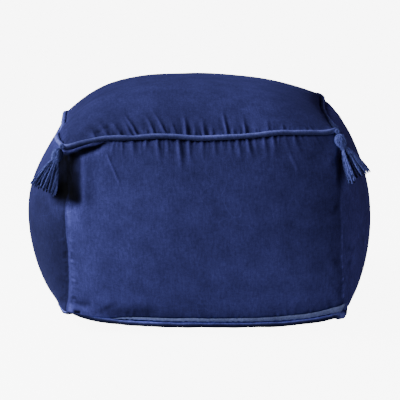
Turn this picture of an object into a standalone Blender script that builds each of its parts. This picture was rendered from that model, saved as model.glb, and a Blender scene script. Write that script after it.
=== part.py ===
"""Square floor pouf in velvet: a filled cover of six panels, covered cords in its top and bottom seams,
a folded lip over the front of the bottom seam, and a tassel on each top corner.

Metres, +Z up. The pouf stands on z = 0, its middle is over the origin and its front faces -Y.
"""

import math
from collections import namedtuple

import bmesh
import bpy
from mathutils import Matrix, Vector

# ---------------------------------------------------------------- driving sizes

CROWN = 0.058  # how far the top panel rises over its seam
FLAT_SHARE = 0.80  # part of the bottom panel that lies on the floor
FLAT_POWER = 3  # how square that part is: 2 is round

CORD_RADIUS = 0.00375
CORD_SINK = 0.0010  # the panels meet the cord this far below its centre line
STITCH_GAP = 0.0016  # room between a cord and the bottom of its seam
PLAIN_SEAM = 0.0030  # depth of the corner seams, which have no cord
TOP_SEAM_FACES = Vector((0, 0, 0.75))  # added to the level way out, this tilts the top seam upwards
BOTTOM_SEAM_FACES = Vector((0, 0, -0.35))  # and this tilts the bottom seam downwards
TURN_SHARE = 0.2  # the last part of a side, over which the way out turns to the corner's diagonal
MERGE = 0.00001  # points nearer than this are one point

# Corners of the two corded seams, on the cord's centre line.
TOP_CORNERS = {
    "front_left": Vector((-0.2010, -0.2030, 0.2680)),
    "front_right": Vector((0.1880, -0.2030, 0.2925)),
    "back_right": Vector((0.1940, 0.2030, 0.2940)),
    "back_left": Vector((-0.2060, 0.2030, 0.2650)),
}
BOTTOM_CORNERS = {
    "front_left": Vector((-0.1930, -0.1960, 0.0290)),
    "front_right": Vector((0.1970, -0.1980, 0.0240)),
    "back_right": Vector((0.1990, 0.1960, 0.0260)),
    "back_left": Vector((-0.1960, 0.1960, 0.0260)),
}
TOP_CORNER_ROUND = 0.06  # corner radius of the seam, as a share of half the side
BOTTOM_CORNER_ROUND = 0.08
SAG_POWER = 4  # how near to its corners the bottom seam comes down

# The top seam's course on each side, going round from the front: place runs from -1 to 1 along the side,
# bow is how far the seam lies outside the straight line between its corners, and rise how far over it.
Knot = namedtuple("Knot", "place bow rise")
TOP_SEAM = {
    "front": (
        Knot(-1.0, 0.0, 0.0),
        Knot(-0.65, 0.008, 0.0140),
        Knot(-0.30, 0.012, 0.0085),
        Knot(0.0, 0.013, 0.0045),
        Knot(0.40, 0.011, 0.0015),
        Knot(1.0, 0.0, 0.0),
    ),
    "right": (
        Knot(-1.0, 0.0, 0.0),
        Knot(-0.75, -0.003, 0.0005),
        Knot(-0.13, -0.005, 0.0020),
        Knot(0.40, 0.001, 0.0020),
        Knot(0.75, 0.006, 0.0010),
        Knot(1.0, 0.0, 0.0),
    ),
    "back": (
        Knot(-1.0, 0.0, 0.0),
        Knot(-0.50, 0.008, 0.0020),
        Knot(0.10, 0.010, 0.0040),
        Knot(0.60, 0.006, 0.0080),
        Knot(1.0, 0.0, 0.0),
    ),
    "left": (
        Knot(-1.0, 0.0, 0.0),
        Knot(-0.60, 0.001, 0.0020),
        Knot(0.05, 0.002, 0.0025),
        Knot(0.25, 0.004, 0.0020),
        Knot(0.46, 0.010, 0.0025),
        Knot(0.75, 0.007, 0.0015),
        Knot(1.0, 0.0, 0.0),
    ),
}

# The side panels and the bottom seam. bow is the seam's, and sag is how far its middle lies under the
# line between its corners. push is how far the filling pushes the panel out between the seams. full_low
# and full_high say how full it is under and over its widest place: 1 is a plain arc, and less is fuller.
Side = namedtuple("Side", "bow sag push full_low full_high")
SIDES = {
    "front": Side(0.015, 0.0138, 0.0415, 0.90, 0.85),
    "right": Side(0.019, 0.0125, 0.0545, 0.64, 0.52),
    "back": Side(0.016, 0.0125, 0.0430, 0.90, 0.85),
    "left": Side(0.019, 0.0125, 0.0485, 0.66, 1.00),
}
MIRRORED = ("back", "left")  # these have the gathers of the side across from them
WIDEST = 0.55  # height share at which the filling pushes furthest
PUSH_POWER = 2.4  # how squarely a panel's bulge reaches its corner seams
DOME_POWER = {"left": 3.1, "right": 2.1, "front": 3.4, "back": 3.4}

# Gathers, where the panel was eased onto the corded seam.
# place is a share of half the side; depth, and the lengths up the top panel and down the side, in metres.
Gather = namedtuple("Gather", "place depth on_top on_side")
GATHERS = (
    Gather(-0.62, 0.0012, 0.016, 0.030),
    Gather(-0.50, 0.0020, 0.024, 0.040),
    Gather(-0.39, 0.0026, 0.030, 0.034),
    Gather(-0.27, 0.0020, 0.022, 0.045),
    Gather(-0.16, 0.0030, 0.034, 0.050),
    Gather(-0.04, 0.0034, 0.036, 0.056),
    Gather(0.07, 0.0022, 0.024, 0.040),
    Gather(0.18, 0.0028, 0.032, 0.046),
    Gather(0.29, 0.0030, 0.030, 0.040),
    Gather(0.40, 0.0018, 0.020, 0.036),
    Gather(0.52, 0.0024, 0.018, 0.044),
    Gather(0.64, 0.0014, 0.012, 0.028),
)
GATHER_REACH = 0.05  # a gather's half width, in the same share
EDGE_COLUMNS = (0.74, 0.83, 0.90, 0.96, 1.0)
ROWS = (0.0, 0.05, 0.10, 0.17, 0.27, 0.38, 0.50, 0.62, 0.73, 0.83, 0.91, 0.965, 1.0)

# Places where the cover is caved in: under each top corner, and low at the front left.
Hollow = namedtuple("Hollow", "middle reach move")
HOLLOWS = (
    Hollow((-0.187, -0.206, 0.222), (0.022, 0.050, 0.040), (0.006, 0.028, 0.0)),
    Hollow((0.188, -0.206, 0.236), (0.014, 0.040, 0.034), (-0.003, 0.010, 0.0)),
    Hollow((-0.196, 0.206, 0.222), (0.020, 0.045, 0.034), (0.006, -0.012, 0.0)),
    Hollow((0.190, 0.206, 0.236), (0.020, 0.045, 0.034), (-0.006, -0.012, 0.0)),
    Hollow((-0.160, -0.200, 0.030), (0.034, 0.040, 0.016), (0.002, 0.009, 0.0)),
)

# Folded lip over the front of the bottom seam. foot and top are height shares of the front panel.
LIP_THICKNESS = 0.0016
LIP_BELLY = 1.2  # how much thicker than that the lip is half way up
LIP_FOLD = 0.5  # and how much thinner along its folded edge
LIP_CLEARANCE = 0.0012
LipSection = namedtuple("LipSection", "place foot top")
LIP_SECTIONS = (
    LipSection(-0.72, 0.020, 0.024),
    LipSection(-0.62, 0.020, 0.034),
    LipSection(-0.40, 0.020, 0.037),
    LipSection(-0.20, 0.020, 0.038),
    LipSection(0.00, 0.020, 0.038),
    LipSection(0.20, 0.020, 0.038),
    LipSection(0.40, 0.020, 0.039),
    LipSection(0.60, 0.020, 0.041),
    LipSection(0.80, 0.020, 0.045),
    LipSection(0.90, 0.019, 0.050),
    LipSection(0.97, 0.018, 0.054),
)

# Tassels: the end of the top seam's side that each hangs at, how far the middle of its loop is from the
# cord there, and the way that it hangs.
Tassel = namedtuple("Tassel", "side place offset direction")
TASSELS = {
    "front_left": Tassel("front", -1.0, (-0.0068, -0.0046, 0.0008), (-0.37, -0.10, -0.90)),
    "front_right": Tassel("front", 1.0, (0.0012, -0.0072, -0.0045), (0.42, -0.10, -0.90)),
    "back_right": Tassel("back", -1.0, (0.0020, 0.0070, -0.0032), (0.06, 0.26, -0.95)),
    "back_left": Tassel("back", 1.0, (0.0004, 0.0080, -0.0034), (0.10, 0.26, -0.95)),
}
LOOP_CORD_RADIUS = 0.0016
LOOP_RADIUS = 0.0028
TASSEL_SIDES = 10
# Sections down each turned piece of a tassel: distance down, half width and half thickness.
HEAD_SECTIONS = (
    (0.0050, 0.0034, 0.0034),
    (0.0064, 0.0066, 0.0062),
    (0.0100, 0.0086, 0.0080),
    (0.0145, 0.0090, 0.0084),
    (0.0185, 0.0078, 0.0074),
    (0.0208, 0.0056, 0.0054),
)
BINDING_SECTIONS = (
    (0.0212, 0.0050, 0.0048),
    (0.0220, 0.0058, 0.0056),
    (0.0236, 0.0058, 0.0056),
    (0.0244, 0.0050, 0.0048),
)
SKIRT_SECTIONS = (
    (0.0248, 0.0050, 0.0046),
    (0.0290, 0.0078, 0.0058),
    (0.0380, 0.0118, 0.0072),
    (0.0500, 0.0156, 0.0084),
    (0.0620, 0.0186, 0.0090),
    (0.0680, 0.0194, 0.0086),
)
SKIRT_RAGGED = 0.0016  # how unevenly the yarns end

# ---------------------------------------------------------------- finishes


def cloth(name, colour, roughness):
    """A cloth material, with its colour in linear values."""
    material = bpy.data.materials.new(name)
    material.use_nodes = True
    shader = material.node_tree.nodes["Principled BSDF"]
    shader.inputs["Base Color"].default_value = (*colour, 1.0)
    shader.inputs["Roughness"].default_value = roughness
    shader.inputs["Metallic"].default_value = 0.0
    material.diffuse_color = (*colour, 1.0)
    return material


# ---------------------------------------------------------------- the two corded seams


def read_table(rows, place):
    """The columns of a table after its first, place, on a smooth curve through its rows."""
    last = len(rows) - 1
    index = max(i for i in range(last) if rows[i].place <= place)
    start, end = rows[index].place, rows[index + 1].place
    share = (place - start) / (end - start)
    values = []
    for column in range(1, len(rows[0])):
        ends = []
        for i in (index, index + 1):
            before, after = rows[max(i - 1, 0)], rows[min(i + 1, last)]
            slope = (after[column] - before[column]) / (after.place - before.place)
            ends.append((rows[i][column], slope * (end - start)))
        (first, leaving), (second, arriving) = ends
        blend = share * share * (3 - 2 * share)
        value = first + (second - first) * blend
        value += leaving * share * (1 - share) ** 2 - arriving * share * share * (1 - share)
        values.append(value)
    return values


def inside(corners, across, deep):
    """The point of a four-cornered patch, each way from -1 to 1."""
    front = corners["front_left"].lerp(corners["front_right"], (1 + across) / 2)
    back = corners["back_left"].lerp(corners["back_right"], (1 + across) / 2)
    return front.lerp(back, (1 + deep) / 2)


def turned(side, along, out):
    """Turns a plan position, given along a side and out from the middle, to that side of the pouf."""
    for _ in range(list(SIDES).index(side)):
        along, out = out, -along
    return along, -out


def seam_point(corners, corner_round, side, place, bow):
    """A point of a seam that is straight, with a round quarter-turn at each corner, and then bowed out."""
    straight = 1 - corner_round
    reach = abs(place) * (straight + corner_round * math.pi / 4)
    along, out = reach, 1.0
    if reach > straight:
        angle = (reach - straight) / corner_round
        along = straight + corner_round * math.sin(angle)
        out = 1 - corner_round * (1 - math.cos(angle))
    along = math.copysign(along, place)
    out += bow / corners["back_right"].y
    return inside(corners, *turned(side, along, out))


def outward(side, place):
    """The level direction out of a side, turning to the diagonal near a corner."""
    turned_share = max(0.0, abs(place) - 1 + TURN_SHARE) / TURN_SHARE
    turn = math.copysign(turned_share, place) * math.pi / 4
    return Vector((*turned(side, math.sin(turn), math.cos(turn)), 0.0))


def top_seam(side, place):
    """The top cord's centre line, and the direction in which the seam faces."""
    bow, rise = read_table(TOP_SEAM[side], place)
    point = seam_point(TOP_CORNERS, TOP_CORNER_ROUND, side, place, bow)
    point.z += rise
    return point, (outward(side, place) + TOP_SEAM_FACES).normalized()


def bottom_seam(side, place):
    """The bottom cord's centre line, and the direction in which the seam faces."""
    bow = SIDES[side].bow * (1 - place * place)
    point = seam_point(BOTTOM_CORNERS, BOTTOM_CORNER_ROUND, side, place, bow)
    point.z -= SIDES[side].sag * (1 - abs(place) ** SAG_POWER)
    return point, (outward(side, place) + BOTTOM_SEAM_FACES).normalized()


def edge(seam, side, place):
    """Where the panels' surface would meet at a seam, if the stitches did not draw it in."""
    point, facing = seam(side, place)
    return point - facing * CORD_SINK


def stitches(seam, side, place):
    """The bottom of the seam, behind its cord."""
    point, facing = seam(side, place)
    return point - facing * (CORD_RADIUS + STITCH_GAP)


# ---------------------------------------------------------------- the filled cover


def gather_places():
    """Grid lines across a panel: each gather's trough, the ridges between them, and the plain ends."""
    troughs = [gather.place for gather in GATHERS]
    ridges = [(a + b) / 2 for a, b in zip(troughs, troughs[1:])]
    ends = [sign * place for sign in (-1, 1) for place in EDGE_COLUMNS]
    return sorted(troughs + ridges + ends)


def gathered(place, distance, length):
    """How far the gathers draw the cover in, this far from the seam. length names the column of lengths."""
    deepest = 0.0
    for gather in GATHERS:
        near = max(0.0, 1 - abs(place - gather.place) / GATHER_REACH)
        fade = max(0.0, 1 - distance / getattr(gather, length))
        deepest = max(deepest, gather.depth * near * fade)
    return deepest


def side_panel(side, place, height):
    """A side panel: stretched between the seams, and pushed out by the filling."""
    if height in (0.0, 1.0):
        return stitches(bottom_seam if height == 0.0 else top_seam, side, place)
    shape = SIDES[side]
    lower = edge(bottom_seam, side, place)
    upper = edge(top_seam, side, place)
    if height < WIDEST:
        bulge = math.sin(math.pi / 2 * height / WIDEST) ** shape.full_low
    else:
        bulge = math.sin(math.pi / 2 * (1 - height) / (1 - WIDEST)) ** shape.full_high
    out = shape.push * bulge * (1 - abs(place) ** PUSH_POWER)
    gather_place = -place if side in MIRRORED else place
    out -= gathered(gather_place, (1 - height) * (upper - lower).length, "on_side")
    if abs(place) == 1.0:
        out -= PLAIN_SEAM
    return lower.lerp(upper, height) + outward(side, place) * out


def stretched(seam, across, deep):
    """The surface stretched inside a seam, and how much of its rise each way is left here."""
    front, back = seam("front", across), seam("back", -across)
    left, right = seam("left", -deep), seam("right", deep)
    a, b = (1 + across) / 2, (1 + deep) / 2
    corners = seam("front", -1.0).lerp(seam("front", 1.0), a).lerp(
        seam("back", 1.0).lerp(seam("back", -1.0), a), b
    )
    return front.lerp(back, b) + left.lerp(right, a) - corners


def top_panel(across, deep):
    """The top panel, domed by the filling."""
    if max(abs(across), abs(deep)) == 1.0:
        return stretched(lambda side, place: stitches(top_seam, side, place), across, deep)
    point = stretched(lambda side, place: edge(top_seam, side, place), across, deep)
    wide = 1 - abs(across) ** DOME_POWER["left" if across < 0 else "right"]
    long = 1 - abs(deep) ** DOME_POWER["front" if deep < 0 else "back"]
    half = TOP_CORNERS["back_right"].y
    drawn = max(
        gathered(across, (1 - abs(deep)) * half, "on_top"),
        gathered(deep, (1 - abs(across)) * half, "on_top"),
    )
    point.z += CROWN * wide * long - drawn
    return point


def bottom_panel(across, deep):
    """The bottom panel, flat on the floor and turned up to its seam."""
    point = stretched(lambda side, place: stitches(bottom_seam, side, place), across, deep)
    reach = (abs(across) ** FLAT_POWER + abs(deep) ** FLAT_POWER) ** (1 / FLAT_POWER)
    most = reach / max(abs(across), abs(deep), MERGE)
    rise = (reach - FLAT_SHARE) / (most - FLAT_SHARE)
    point.z *= max(0.0, rise) ** 2
    return point


def caved_in(point):
    """The point, moved by the hollows that it lies in."""
    moved = Vector(point)
    for hollow in HOLLOWS:
        off = sum(((p - m) / r) ** 2 for p, m, r in zip(point, hollow.middle, hollow.reach))
        moved += Vector(hollow.move) * math.exp(-off * off)
    return moved


def add_panel(mesh, point, columns, rows):
    """Adds a grid of faces, with point giving each grid point's place."""
    grid = [[mesh.verts.new(point(column, row)) for column in columns] for row in rows]
    for lower, upper in zip(grid, grid[1:]):
        for corners in zip(lower, lower[1:], upper[1:], upper):
            mesh.faces.new(corners)


def finish(mesh, name, material):
    """Closes the mesh, turns its faces out and makes it an object."""
    bmesh.ops.remove_doubles(mesh, verts=mesh.verts, dist=MERGE)
    bmesh.ops.recalc_face_normals(mesh, faces=mesh.faces)
    data = bpy.data.meshes.new(name)
    mesh.to_mesh(data)
    mesh.free()
    data.materials.append(material)
    data.shade_smooth()
    piece = bpy.data.objects.new(name, data)
    bpy.context.collection.objects.link(piece)
    return piece


def make_body(material):
    """The cover with its filling, as one closed solid of six panels."""
    mesh = bmesh.new()
    columns = gather_places()
    for side in SIDES:
        places = [-column for column in columns] if side in MIRRORED else columns
        add_panel(mesh, lambda place, height, side=side: side_panel(side, place, height), places, ROWS)
    add_panel(mesh, top_panel, columns, columns)
    add_panel(mesh, bottom_panel, columns, columns)
    bmesh.ops.remove_doubles(mesh, verts=mesh.verts, dist=MERGE)
    for vertex in mesh.verts:
        if vertex.co.z > 0:
            vertex.co = caved_in(vertex.co)
    floor = [face for face in mesh.faces if all(vertex.co.z == 0 for vertex in face.verts)]
    bmesh.ops.dissolve_faces(mesh, faces=floor)
    return finish(mesh, "body", material)


# ---------------------------------------------------------------- cords and lip

# Points of a cord along half a side, closer together near the corner. A side starts at its own corner
# and leaves its last one to the next side.
CORD_HALF = (0.2, 0.4, 0.6, 0.75, 0.86, 0.93, 0.97)
CORD_PLACES = (-1.0, *(-place for place in reversed(CORD_HALF)), 0.0, *CORD_HALF)


def make_ring(name, points, radius, material):
    """A closed cord through these points."""
    curve = bpy.data.curves.new(name, "CURVE")
    curve.dimensions = "3D"
    curve.bevel_depth = radius
    curve.bevel_resolution = 1
    curve.materials.append(material)
    spline = curve.splines.new("POLY")
    spline.points.add(len(points) - 1)
    for knot, point in zip(spline.points, points):
        knot.co = (*point, 1.0)
    spline.use_cyclic_u = True
    spline.use_smooth = True
    ring = bpy.data.objects.new(name, curve)
    bpy.context.collection.objects.link(ring)
    return ring


def make_seam_cord(name, seam, material):
    """The covered cord all round a seam."""
    points = [seam(side, place)[0] for side in SIDES for place in CORD_PLACES]
    return make_ring(name, points, CORD_RADIUS, material)


def make_lip(material):
    """The folded lip, a thin strip that stands against the front panel just over the bottom cord."""
    rings = []
    for section in LIP_SECTIONS:
        out = outward("front", section.place)
        foot = caved_in(side_panel("front", section.place, section.foot)) + out * LIP_CLEARANCE
        top = caved_in(side_panel("front", section.place, section.top)) + out * LIP_CLEARANCE
        rings.append(
            [
                foot,
                top,
                top + out * LIP_THICKNESS * LIP_FOLD,
                foot.lerp(top, 0.5) + out * LIP_THICKNESS * LIP_BELLY,
                foot + out * LIP_THICKNESS,
            ]
        )
    return make_loft("closure_lip", rings, material)


def make_loft(name, rings, material):
    """A closed solid through rings of the same number of points, with flat ends."""
    mesh = bmesh.new()
    rows = [[mesh.verts.new(point) for point in ring] for ring in rings]
    for lower, upper in zip(rows, rows[1:]):
        for a, b, c, d in zip(lower, lower[1:] + lower[:1], upper[1:] + upper[:1], upper):
            mesh.faces.new((a, b, c, d))
    mesh.faces.new(rows[0])
    mesh.faces.new(rows[-1])
    return finish(mesh, name, material)


# ---------------------------------------------------------------- tassels


def oval(down, half_width, half_thickness, ragged=0.0):
    """A ring of points round the tassel's line. ragged lifts every other point."""
    ring = []
    for index in range(TASSEL_SIDES):
        angle = 2 * math.pi * index / TASSEL_SIDES
        lift = ragged * (1 if index % 2 else -1)
        ring.append(Vector((half_width * math.cos(angle), half_thickness * math.sin(angle), lift - down)))
    return ring


def make_tassel(corner, materials):
    """The four pieces of a tassel, hung from an empty at its corner that holds their place and tilt."""
    tassel = TASSELS[corner]
    holder = bpy.data.objects.new(f"tassel_{corner}", None)
    bpy.context.collection.objects.link(holder)
    hangs_from = top_seam(tassel.side, tassel.place)[0] + Vector(tassel.offset)
    up = -Vector(tassel.direction).normalized()
    wide = outward(tassel.side, 0.0).cross(up).normalized()
    thick = up.cross(wide)
    holder.matrix_world = Matrix.Translation(hangs_from) @ Matrix((wide, thick, up)).transposed().to_4x4()

    turns = [2 * math.pi * step / TASSEL_SIDES for step in range(TASSEL_SIDES)]
    circle = [Vector((LOOP_RADIUS * math.cos(turn), 0, LOOP_RADIUS * math.sin(turn))) for turn in turns]
    head = [oval(*row) for row in HEAD_SECTIONS]
    binding = [oval(*row) for row in BINDING_SECTIONS]
    skirt = [oval(*row) for row in SKIRT_SECTIONS[:-1]] + [oval(*SKIRT_SECTIONS[-1], SKIRT_RAGGED)]
    pieces = (
        make_ring(f"loop_{corner}", circle, LOOP_CORD_RADIUS, materials["yarn"]),
        make_loft(f"head_{corner}", head, materials["yarn"]),
        make_loft(f"binding_{corner}", binding, materials["yarn"]),
        make_loft(f"skirt_{corner}", skirt, materials["yarn"]),
    )
    for piece in pieces:
        piece.parent = holder


# ---------------------------------------------------------------- the pouf

for leftover in list(bpy.data.objects):
    bpy.data.objects.remove(leftover, do_unlink=True)

finishes = {
    "velvet": cloth("velvet", (0.024, 0.036, 0.140), 0.75),
    "cord": cloth("cord_velvet", (0.034, 0.054, 0.200), 0.65),
    "yarn": cloth("yarn", (0.030, 0.040, 0.130), 0.85),
}
make_body(finishes["velvet"])
make_seam_cord("top_cord", top_seam, finishes["cord"])
make_seam_cord("bottom_cord", bottom_seam, finishes["cord"])
make_lip(finishes["velvet"])
for tassel_corner in TASSELS:
    make_tassel(tassel_corner, finishes)
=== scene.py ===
# %% [markdown]
# # A velvet pouf with tassels
#
# The pouf is a square cover of six velvet panels, packed so full of loose filling that every panel
# bulges. Covered cords run round its top and bottom seams, a folded lip hides the fastening in the
# front of the bottom seam, and a tassel hangs from each top corner.
#
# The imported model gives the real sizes. This script dresses it: it shapes the cover in fine detail,
# lets a cloth simulation settle it, covers the cords, ties the tassels and makes the velvet.

import math
import time
from collections import namedtuple

import bmesh
import bpy
import numpy as np
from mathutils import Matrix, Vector, noise
from mathutils.bvhtree import BVHTree
from mathutils.kdtree import KDTree


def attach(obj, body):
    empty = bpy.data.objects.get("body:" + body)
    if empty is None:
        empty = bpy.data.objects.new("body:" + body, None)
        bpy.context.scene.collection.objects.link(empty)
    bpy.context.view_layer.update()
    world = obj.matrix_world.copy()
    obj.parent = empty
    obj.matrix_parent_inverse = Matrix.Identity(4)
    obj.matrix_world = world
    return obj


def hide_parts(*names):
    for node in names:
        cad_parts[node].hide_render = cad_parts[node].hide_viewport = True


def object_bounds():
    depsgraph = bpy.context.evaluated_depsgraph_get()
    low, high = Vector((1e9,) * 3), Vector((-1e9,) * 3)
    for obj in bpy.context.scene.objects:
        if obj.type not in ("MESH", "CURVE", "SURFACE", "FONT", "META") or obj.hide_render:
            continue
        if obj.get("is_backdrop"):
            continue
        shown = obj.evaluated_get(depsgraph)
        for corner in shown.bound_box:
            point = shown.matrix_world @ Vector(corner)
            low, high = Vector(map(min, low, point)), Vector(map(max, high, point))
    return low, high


WANDER_SEED = 7
noise.seed_set(WANDER_SEED)  # without it, every run would draw other noise vectors
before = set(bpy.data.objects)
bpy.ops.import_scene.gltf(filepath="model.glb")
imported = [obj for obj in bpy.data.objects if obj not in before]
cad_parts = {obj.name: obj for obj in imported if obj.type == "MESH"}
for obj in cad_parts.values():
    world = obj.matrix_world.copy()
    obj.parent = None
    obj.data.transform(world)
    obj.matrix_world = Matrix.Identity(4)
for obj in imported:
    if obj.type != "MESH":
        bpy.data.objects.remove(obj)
cad_box = [list(corner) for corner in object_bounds()]
low, high = ([round(value, 3) for value in corner] for corner in cad_box)
print("packed model from", low, "to", high)

# %% [markdown]
# ## Camera
#
# A product picture like this is taken from a few metres away with a long lens, so that the far side
# looks nearly as large as the near one. The camera stands a little over the pouf and looks down a
# little, which shows the dome of the top panel over the front cord.

# %% The camera
CAMERA_DISTANCE = 3.5
CAMERA_TURN = math.radians(-2.15)  # round the pouf, to the left of the front
CAMERA_RISE = math.radians(9.5)
CAMERA_LENS_MM = 209
LOOKED_AT = Vector((0, 0, 0.1575))

bpy.ops.object.camera_add()
camera = bpy.context.object
camera.name = "camera"
camera.data.lens = CAMERA_LENS_MM
back = Vector((
    math.sin(CAMERA_TURN) * math.cos(CAMERA_RISE),
    -math.cos(CAMERA_TURN) * math.cos(CAMERA_RISE),
    math.sin(CAMERA_RISE),
))
camera.location = LOOKED_AT + CAMERA_DISTANCE * back
camera.rotation_euler = back.to_track_quat("Z", "Y").to_euler()
bpy.context.scene.camera = camera
print("camera at", [round(c, 2) for c in camera.location])

# %% [markdown]
# ## Studio
#
# Velvet is lit from one side: its pile then shows every fold as a light ridge and a dark valley. A
# soft lamp far to the left rakes over the cover, a weaker and larger one stands at the front left, and
# the pale surroundings give back a little light from everywhere. The floor is plain and pale. It looks
# nearly white to the camera, but gives the pouf only the light of a pale floor.

# %% Floor and lamps
FLOOR_SIZE = 60
FLOOR_GREY = (0.8, 0.8, 0.8, 1)
FLOOR_GLOW = 7.8  # only the camera sees it
Lamp = namedtuple("Lamp", "place size watts")
LAMPS = {
    "raking_lamp": Lamp((-1.58, -0.28, 1.07), 0.8, 36),
    "front_lamp": Lamp((-1.13, -1.95, 1.45), 1.4, 17),
}
LAMP_TINT = (0.95, 1.0, 1.0)
LIT_POINT = Vector((0, 0, 0.15))
SURROUNDINGS_TINT = (1.14, 0.88, 1.06, 1)
SURROUNDINGS_GLOW = (0.055, 8.4)  # on the pouf and the floor, and as the camera sees it


def new_material(name):
    """An empty node material, with its tree, Principled shader and output."""
    material = bpy.data.materials.new(name)
    material.use_nodes = True
    tree = material.node_tree
    return material, tree, tree.nodes["Principled BSDF"], tree.nodes["Material Output"]


def wire(tree, kind, links=(), **settings):
    """A node with its settings, and its inputs joined or filled in by name or number."""
    node = tree.nodes.new(kind)
    for name, value in settings.items():
        setattr(node, name, value)
    fill_in(tree, node, links)
    return node


def fill_in(tree, node, links):
    """Joins a node's inputs to sockets, or gives them values, by name or number."""
    for name, value in dict(links).items():
        if isinstance(value, bpy.types.NodeSocket):
            tree.links.new(value, node.inputs[name])
        else:
            node.inputs[name].default_value = value


bpy.ops.mesh.primitive_plane_add(size=FLOOR_SIZE)
floor = bpy.context.object
floor.name = "floor"
floor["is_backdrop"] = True
floor_paint, tree, shader, output = new_material("floor_paint")
fill_in(tree, shader, {"Base Color": FLOOR_GREY, "Roughness": 0.9, "Specular IOR Level": 0})
seen = wire(tree, "ShaderNodeLightPath").outputs["Is Camera Ray"]
brightness = wire(tree, "ShaderNodeMath", {0: seen, 1: FLOOR_GLOW}, operation="MULTIPLY")
glow = wire(tree, "ShaderNodeEmission", {"Strength": brightness.outputs[0]})
both = wire(tree, "ShaderNodeAddShader", {0: shader.outputs[0], 1: glow.outputs[0]})
tree.links.new(both.outputs[0], output.inputs["Surface"])
floor.data.materials.append(floor_paint)

for name, lamp in LAMPS.items():
    bpy.ops.object.light_add(type="AREA", location=lamp.place)
    light = bpy.context.object
    light.name = name
    light.data.size = lamp.size
    light.data.energy = lamp.watts
    light.data.color = LAMP_TINT
    light.rotation_euler = (Vector(lamp.place) - LIT_POINT).to_track_quat("Z", "Y").to_euler()

world = bpy.data.worlds.new("pale_surroundings")
world.use_nodes = True
bpy.context.scene.world = world
tree = world.node_tree
seen = wire(tree, "ShaderNodeLightPath").outputs["Is Camera Ray"]
dim, bright = SURROUNDINGS_GLOW
strength = wire(tree, "ShaderNodeMapRange", {"Value": seen, "To Min": dim, "To Max": bright})
tints = {"Factor": seen, "A": SURROUNDINGS_TINT, "B": (1, 1, 1, 1)}
tint = wire(tree, "ShaderNodeMix", tints, data_type="RGBA").outputs["Result"]
fill_in(tree, tree.nodes["Background"], {"Strength": strength.outputs[0], "Color": tint})
print("floor and", len(LAMPS), "lamps")

# %% [markdown]
# ## Where the seams run
#
# A cover is drawn from its seams, so they come first. They have the same corners and courses as the
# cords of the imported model. Each seam gives, for a side and a place from -1 to 1 along it, the middle of
# its cord and the way the seam faces.

# %% Corners and courses of the two corded seams
CORD_RADIUS = 0.00375
SIDES = ("front", "right", "back", "left")
TOP_CORNERS = {
    "front_left": (-0.201, -0.203, 0.268),
    "front_right": (0.188, -0.203, 0.2925),
    "back_right": (0.194, 0.203, 0.294),
    "back_left": (-0.206, 0.203, 0.265),
}
BOTTOM_CORNERS = {
    "front_left": (-0.193, -0.196, 0.029),
    "front_right": (0.197, -0.198, 0.024),
    "back_right": (0.199, 0.196, 0.026),
    "back_left": (-0.196, 0.196, 0.026),
}
TOP_CORNER_ROUND = 0.06  # corner radius of the seam, as a share of half the side
BOTTOM_CORNER_ROUND = 0.08
HALF = TOP_CORNERS["back_right"][1]  # half the length of a side

# place along the side, how far the seam bows out, and how far it rises
TOP_COURSE = {
    "front": (
        (-1.0, 0.0, 0.0), (-0.95, 0.0012, 0.0018), (-0.9, 0.0028, 0.0038), (-0.84, 0.0045, 0.0058),
        (-0.77, 0.0055, 0.008), (-0.69, 0.007, 0.0099), (-0.5, 0.01, 0.0082), (-0.3, 0.012, 0.008),
        (0.0, 0.013, 0.0016), (0.35, 0.0114, -0.0001), (0.46, 0.01, 0.001), (0.6, 0.0075, 0.0008),
        (0.8, 0.004, -0.0022), (0.92, 0.0015, -0.0034), (1.0, 0.0, -0.002),
    ),
    "right": (
        (-1.0, 0.0, -0.002), (-0.75, -0.0055, -0.0005), (-0.13, -0.0075, 0.0005), (0.4, -0.001, 0.0008),
        (0.75, 0.004, -0.0005), (1.0, 0.0, -0.0015),
    ),
    "back": (
        (-1.0, 0.0, -0.0015), (-0.5, 0.008, 0.0015), (0.1, 0.01, 0.004), (0.6, 0.006, 0.008),
        (1.0, 0.0, 0.0),
    ),
    "left": (
        (-1.0, 0.0, 0.0), (-0.6, 0.001, 0.002), (0.05, 0.002, 0.0025), (0.25, 0.004, 0.002),
        (0.46, 0.01, 0.0025), (0.75, 0.007, 0.0015), (1.0, 0.0, 0.0),
    ),
}
BOTTOM_BOW = {"front": 0.015, "right": 0.019, "back": 0.016, "left": 0.019}
BOTTOM_SAG = {"front": 0.0148, "right": 0.0125, "back": 0.0125, "left": 0.0125}
BOTTOM_SAG_POWER = (4.8, 4.4)  # on the left half of a side, and on its right half
TURNS_FROM = 0.6  # place on a side from which the way out turns to the corner's diagonal
TOP_SEAM_FACES = (0, 0, 0.75)  # added to the level way out, this tilts the top seam upwards
BOTTOM_SEAM_FACES = (0, 0, -0.35)  # and this tilts the bottom seam downwards
CHECKED_PLACES = 41  # on each side of a seam


def ramp(values, start, end):
    """0 before start and 1 after end, with a smooth step between them."""
    share = np.clip((values - start) / (end - start), 0, 1)
    return share * share * (3 - 2 * share)


def read_curve(rows, place):
    """The columns of a table after its first, on a smooth curve through its rows, at many places."""
    rows = np.array(rows, float)
    knots, values = rows[:, 0], rows[:, 1:]
    ahead = np.minimum(np.arange(len(knots)) + 1, len(knots) - 1)
    behind = np.maximum(np.arange(len(knots)) - 1, 0)
    slopes = (values[ahead] - values[behind]) / (knots[ahead] - knots[behind])[:, None]
    first = np.clip(np.searchsorted(knots, place, "right") - 1, 0, len(knots) - 2)
    length = (knots[first + 1] - knots[first])[:, None]
    share = (np.asarray(place) - knots[first])[:, None] / length
    rest = 1 - share
    start, end = values[first], values[first + 1]
    curve = start + (end - start) * share * share * (3 - 2 * share)
    curve += slopes[first] * length * share * rest * rest
    return curve - slopes[first + 1] * length * share * share * rest


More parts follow.
